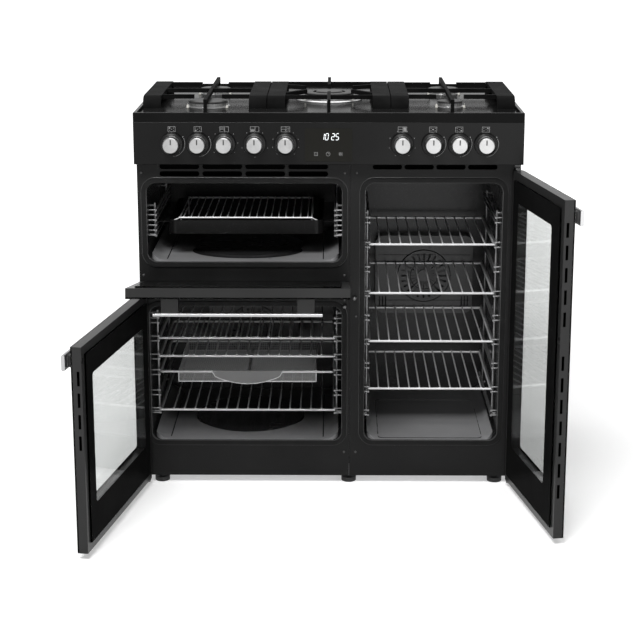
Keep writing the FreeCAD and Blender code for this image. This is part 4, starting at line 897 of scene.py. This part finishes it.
def denser(loop):
    points = []
    for index, (x, y) in enumerate(loop):
        nextX, nextY = loop[(index + 1) % len(loop)]
        steps = max(1, round(hypot(nextX - x, nextY - y) / floorLook["pointStep"]))
        points += [(x + (nextX - x) * step / steps, y + (nextY - y) * step / steps) for step in range(steps)]
    return points


def linkRings(bm, rings, closed):
    bridge(bm, [[bm.verts.new((x * mm, y * mm, z * mm)) for x, y, z in ring] for ring in rings], closed)


def makeFloorPlates():
    plates = bmesh.new()
    dishes = bmesh.new()
    look = floorLook
    for cavity in look["cavities"].values():
        left, right = cavity["sides"]
        floor = cavity["floor"]
        half = ((right - left) / 2, (cavity["back"] - look["front"]) / 2)
        middle = ((left + right) / 2, look["front"] + half[1])
        outline = denser(roundedLoop(left, right, look["front"], cavity["back"], look["corner"]))
        low = [(x, y, floor - look["under"]) for x, y in outline]
        rings = [low]
        for inset, rise in look["rise"]:
            ring = []
            for x, y in outline:
                across = (x - middle[0]) * (1 - inset / half[0])
                along = (y - middle[1]) * (1 - inset / half[1])
                side = min(1.0, max(0.0, (abs(x - middle[0]) / half[0] - look["flat"]) / look["fade"]))
                ring.append((middle[0] + across, middle[1] + along, floor + look["top"] + rise * side))
            rings.append(ring)
        if "oval" not in cavity:
            linkRings(plates, rings, False)
            continue
        centreY, wide, deep = cavity["oval"]
        oval = []
        for x, y in outline:
            angle = atan2((y - centreY) / deep, (x - middle[0]) / wide)
            oval.append((cos(angle) * wide, sin(angle) * deep))
        for scale, z in ((1.0, look["top"]), (look["lip"], look["top"] - 0.3), (look["lip"], -look["under"])):
            rings.append([(middle[0] + x * scale, centreY + y * scale, floor + z) for x, y in oval])
        linkRings(plates, rings, True)
        linkRings(dishes, [[(middle[0] + x * scale, centreY + y * scale, floor + z) for x, y in oval]
                           for scale, z in look["dish"]], False)
    # the plates' colour is painted light at the front of each floor and painted shade at the back
    finishPiece("floorPlates", plates, "floorPaintedLightAndShade", "cooker")
    finishPiece("floorDishes", dishes, "ovenEnamel", "cooker")


def makeFloorRibs():
    bm = bmesh.new()
    look = floorLook
    for z, back in look["sideRibs"]:
        for x in look["ribX"]:
            tube(bm, [(x, look["ribFront"], z + 0.2), (x, back, z + 0.2)], look["rib"])
    corners = [(x, y, look["loopZ"]) for x, y in roundedLoop(*look["loopRib"])]
    tube(bm, corners, look["rib"], closed=True)
    finishPiece("floorRibs", bm, "ovenEnamel", "cooker")


# edges of the openings, as beads lighter than the enamel: a painted highlight along each edge, with their own
# real shine; each bead stands out by, lies ahead by, and is as thick as these say
openingLook = {"openings": [(-427, 32, 533, 721), (-427, 32, 90, 425), (86, 408, 91, 722)],
               "radius": 22.0, "front": -264.0, "beads": ((0.6, -0.7, 1.1), (12.6, -0.5, 0.8))}


def makeOpeningBeads():
    bm = bmesh.new()
    look = openingLook
    for x0, x1, z0, z1 in look["openings"]:
        for grow, ahead, thick in look["beads"]:
            loop = roundedLoop(x0 - grow, x1 + grow, z0 - grow, z1 + grow, look["radius"] + grow, 10)
            tube(bm, [(x, look["front"] + ahead, z) for x, z in loop], thick, closed=True)
    finishPiece("openingBeads", bm, "beadEnamelPaintedHighlight", "cooker")


# sheet ducts that take the cooling air to the slots; open at the front only. Their closed boxes cut off the
# light, and their near-black colour is painted shade behind the slots
ductLook = {"spans": [(-440, 46), (56, 440)], "front": -262.4, "back": -216.0, "low": 735.5, "top": 781.0,
            "wall": 1.0}


def makeDucts():
    bm = bmesh.new()
    near, far, low, top, wall = (ductLook[key] for key in ("front", "back", "low", "top", "wall"))
    for x0, x1 in ductLook["spans"]:
        for z in (low - wall, top):
            boxSolid(bm, x0, x1, near, far, z, z + wall)
        boxSolid(bm, x0, x1, far, far + wall, low - wall, top + wall)
        for x in (x0 - wall, x1):
            boxSolid(bm, x, x + wall, near, far + wall, low - wall, top + wall)
    finishPiece("airDucts", bm, "ductSteelPaintedShade", "cooker", smooth=False)


# fan covers: dark rings and fold lines, painted shadow in the gaps round the covers and in the tall oven's folds;
# two rings each, by radius, thickness and depth, and the folds of the tall oven's
coverLook = {"face": 131.5, "fans": [(-197.5, 262.0), (247.0, 410.0)],
             "rings": ((68.4, 1.4, 1.2), (35.5, 1.0, 0.2)), "folds": [(128, 366, 465.0), (128, 366, 344.0)]}


def makeCoverShadeLines():
    bm = bmesh.new()
    face = coverLook["face"]
    for x, z in coverLook["fans"]:
        for radius, thick, ahead in coverLook["rings"]:
            loop = [(x + radius * cos(a), face - ahead, z + radius * sin(a)) for a in turns(48)]
            tube(bm, loop, thick, closed=True)
    for x0, x1, z in coverLook["folds"]:
        boxSolid(bm, x0, x1, face - 0.5, face + 0.1, z, z + 1.2)
    # the seal-rubber black here is painted shadow in the gaps and folds
    finishPiece("coverMarks", bm, "sealRubber", "cooker")


makeFloorPlates()
makeOpeningBeads()
makeDucts()
makeCoverShadeLines()
makeFloorRibs()
print("oven floors, openings, ducts and covers detailed")

# screws in the back, the sides and the front
screwLook = {"radius": 3.6, "height": 1.8, "back": 271.2, "side": 448, "front": -264}


def makeScrewTemplate():
    # low domed head of a few dozen faces
    bm = bmesh.new()
    radius, height = screwLook["radius"], screwLook["height"]
    lathe(bm, [(0, -1.0), (radius, -1.0), (radius, height * 0.35), (radius * 0.8, height * 0.8),
               (radius * 0.45, height), (0, height)], (0, 0, 0), (0, 0, 1), 12)
    bmesh.ops.recalc_face_normals(bm, faces=bm.faces)
    mesh = bpy.data.meshes.new("screwTemplate")
    bm.to_mesh(mesh)
    bm.free()
    return addObject("screwTemplate", mesh)


def makeScrews(name, points, finish, body, size=1.0, turn=None):
    start = bpy.data.meshes.new(name + "Points")
    start.from_pydata([Vector(place) * mm for place, _ in points], [], [])
    facing = start.attributes.new("facing", "FLOAT_VECTOR", "POINT")
    for index, (_, way) in enumerate(points):
        facing.data[index].vector = way
    mesh = grown(name, fixings, {"Screw": screwTemplate, "Size": size, "Material": materials[finish]}, start)
    if turn is not None:
        mesh.transform(turn)
    return placePiece(name, mesh, finish, body)


screwTemplate = makeScrewTemplate()
backPoints = [((x, screwLook["back"], z), (0, 1, 0)) for x in (-430, -215, 0, 215, 430) for z in (12, 855)]
backPoints += [((x, screwLook["back"], z), (0, 1, 0)) for x in (-436, 436) for z in (220, 440, 650)]
makeScrews("backScrews", backPoints, "screwSteel", "cooker")
sidePoints = [((side * screwLook["side"], y, z), (side, 0, 0))
              for side in (-1, 1) for y in (-245, 275) for z in (14, 60)]
makeScrews("sideScrews", sidePoints, "screwBlack", "cooker", 0.9)
frontPoints = [((x, screwLook["front"], z), (0, -1, 0)) for x in (-438, 38) for z in (60, 440, 500, 745)]
frontPoints += [((x, screwLook["front"], z), (0, -1, 0)) for x in (66, 438) for z in (60, 400, 745)]
makeScrews("frontScrews", frontPoints, "screwBlack", "cooker", 0.8)
bpy.data.objects.remove(screwTemplate)
print("screws placed")

# floor, world, lamps
stageLook = {"floorZ": -0.0202, "floorSize": 80.0, "floorColor": (0.80, 0.80, 0.80), "floorRough": 0.9,
             "floorShine": 0.1, "nearGlow": 0.34, "farGlow": 1.0, "nearEdge": 1.2, "farEdge": 3.4,
             "ambient": 0.25}


def lightPathMask(tree):
    rays = tree.nodes.new("ShaderNodeLightPath").outputs
    seen = mathNode(tree, "ADD", rays["Is Camera Ray"], rays["Is Glossy Ray"])
    return mathNode(tree, "ADD", seen, rays["Is Transmission Ray"], clamp=True)


def makeStage():
    half = stageLook["floorSize"] / 2
    mesh = bpy.data.meshes.new("studioFloor")
    z = stageLook["floorZ"]
    mesh.from_pydata([(-half, -half, z), (half, -half, z), (half, half, z), (-half, half, z)], [], [(0, 1, 2, 3)])
    floor = addObject("studioFloor", mesh)
    material = bpy.data.materials.new("studioFloor")
    material.use_nodes = True
    tree = material.node_tree
    shader = tree.nodes["Principled BSDF"]
    setInputs(shader, {"Base Color": (*stageLook["floorColor"], 1), "Roughness": stageLook["floorRough"],
                       "Specular IOR Level": stageLook["floorShine"], "Emission Color": (1, 1, 1, 1)})
    # the floor fades to the backdrop's white away from the object
    coordinates = tree.nodes.new("ShaderNodeTexCoord")
    away = tree.nodes.new("ShaderNodeVectorMath")
    away.operation = "LENGTH"
    tree.links.new(coordinates.outputs["Object"], away.inputs[0])
    fade = spread(tree, away.outputs["Value"], stageLook["nearGlow"], stageLook["farGlow"],
                  stageLook["nearEdge"], stageLook["farEdge"])
    glow = mathNode(tree, "MULTIPLY", lightPathMask(tree), fade)
    tree.links.new(glow, shader.inputs["Emission Strength"])
    floor.data.materials.append(material)
    world = bpy.data.worlds.new("studio")
    bpy.context.scene.world = world
    world.use_nodes = True
    tree = world.node_tree
    backdrop = tree.nodes["Background"]
    backdrop.inputs["Color"].default_value = (1, 1, 1, 1)
    level = tree.nodes.new("ShaderNodeMapRange")
    tree.links.new(lightPathMask(tree), level.inputs["Value"])
    setInputs(level, {"To Min": stageLook["ambient"], "To Max": 1.0})
    tree.links.new(level.outputs[0], backdrop.inputs["Strength"])


def addLamp(name, place, aim, size, power):
    lampData = bpy.data.lights.new(name, "AREA")
    lampData.shape = "RECTANGLE"
    lampData.size = size[0]
    lampData.size_y = size[1]
    lampData.energy = power
    lamp = addObject(name, lampData)
    lamp.location = place
    lamp.rotation_euler = (Vector(aim) - Vector(place)).to_track_quat("-Z", "Y").to_euler()


makeStage()
lamps = {
    "keyLamp": ((-0.8, -3.2, 3.9), (0, 0, 0.4), (2.0, 1.4), 230.0),
    "sideLamp": ((1.5, -3.0, 0.6), (0, 0, 0.5), (2.8, 2.0), 26.0),
    "topLamp": ((0.0, 0.6, 3.2), (0, 0, 0.8), (2.4, 1.6), 50.0),
}
for name, (place, aim, size, power) in lamps.items():
    addLamp(name, place, aim, size, power)
print("studio lit")
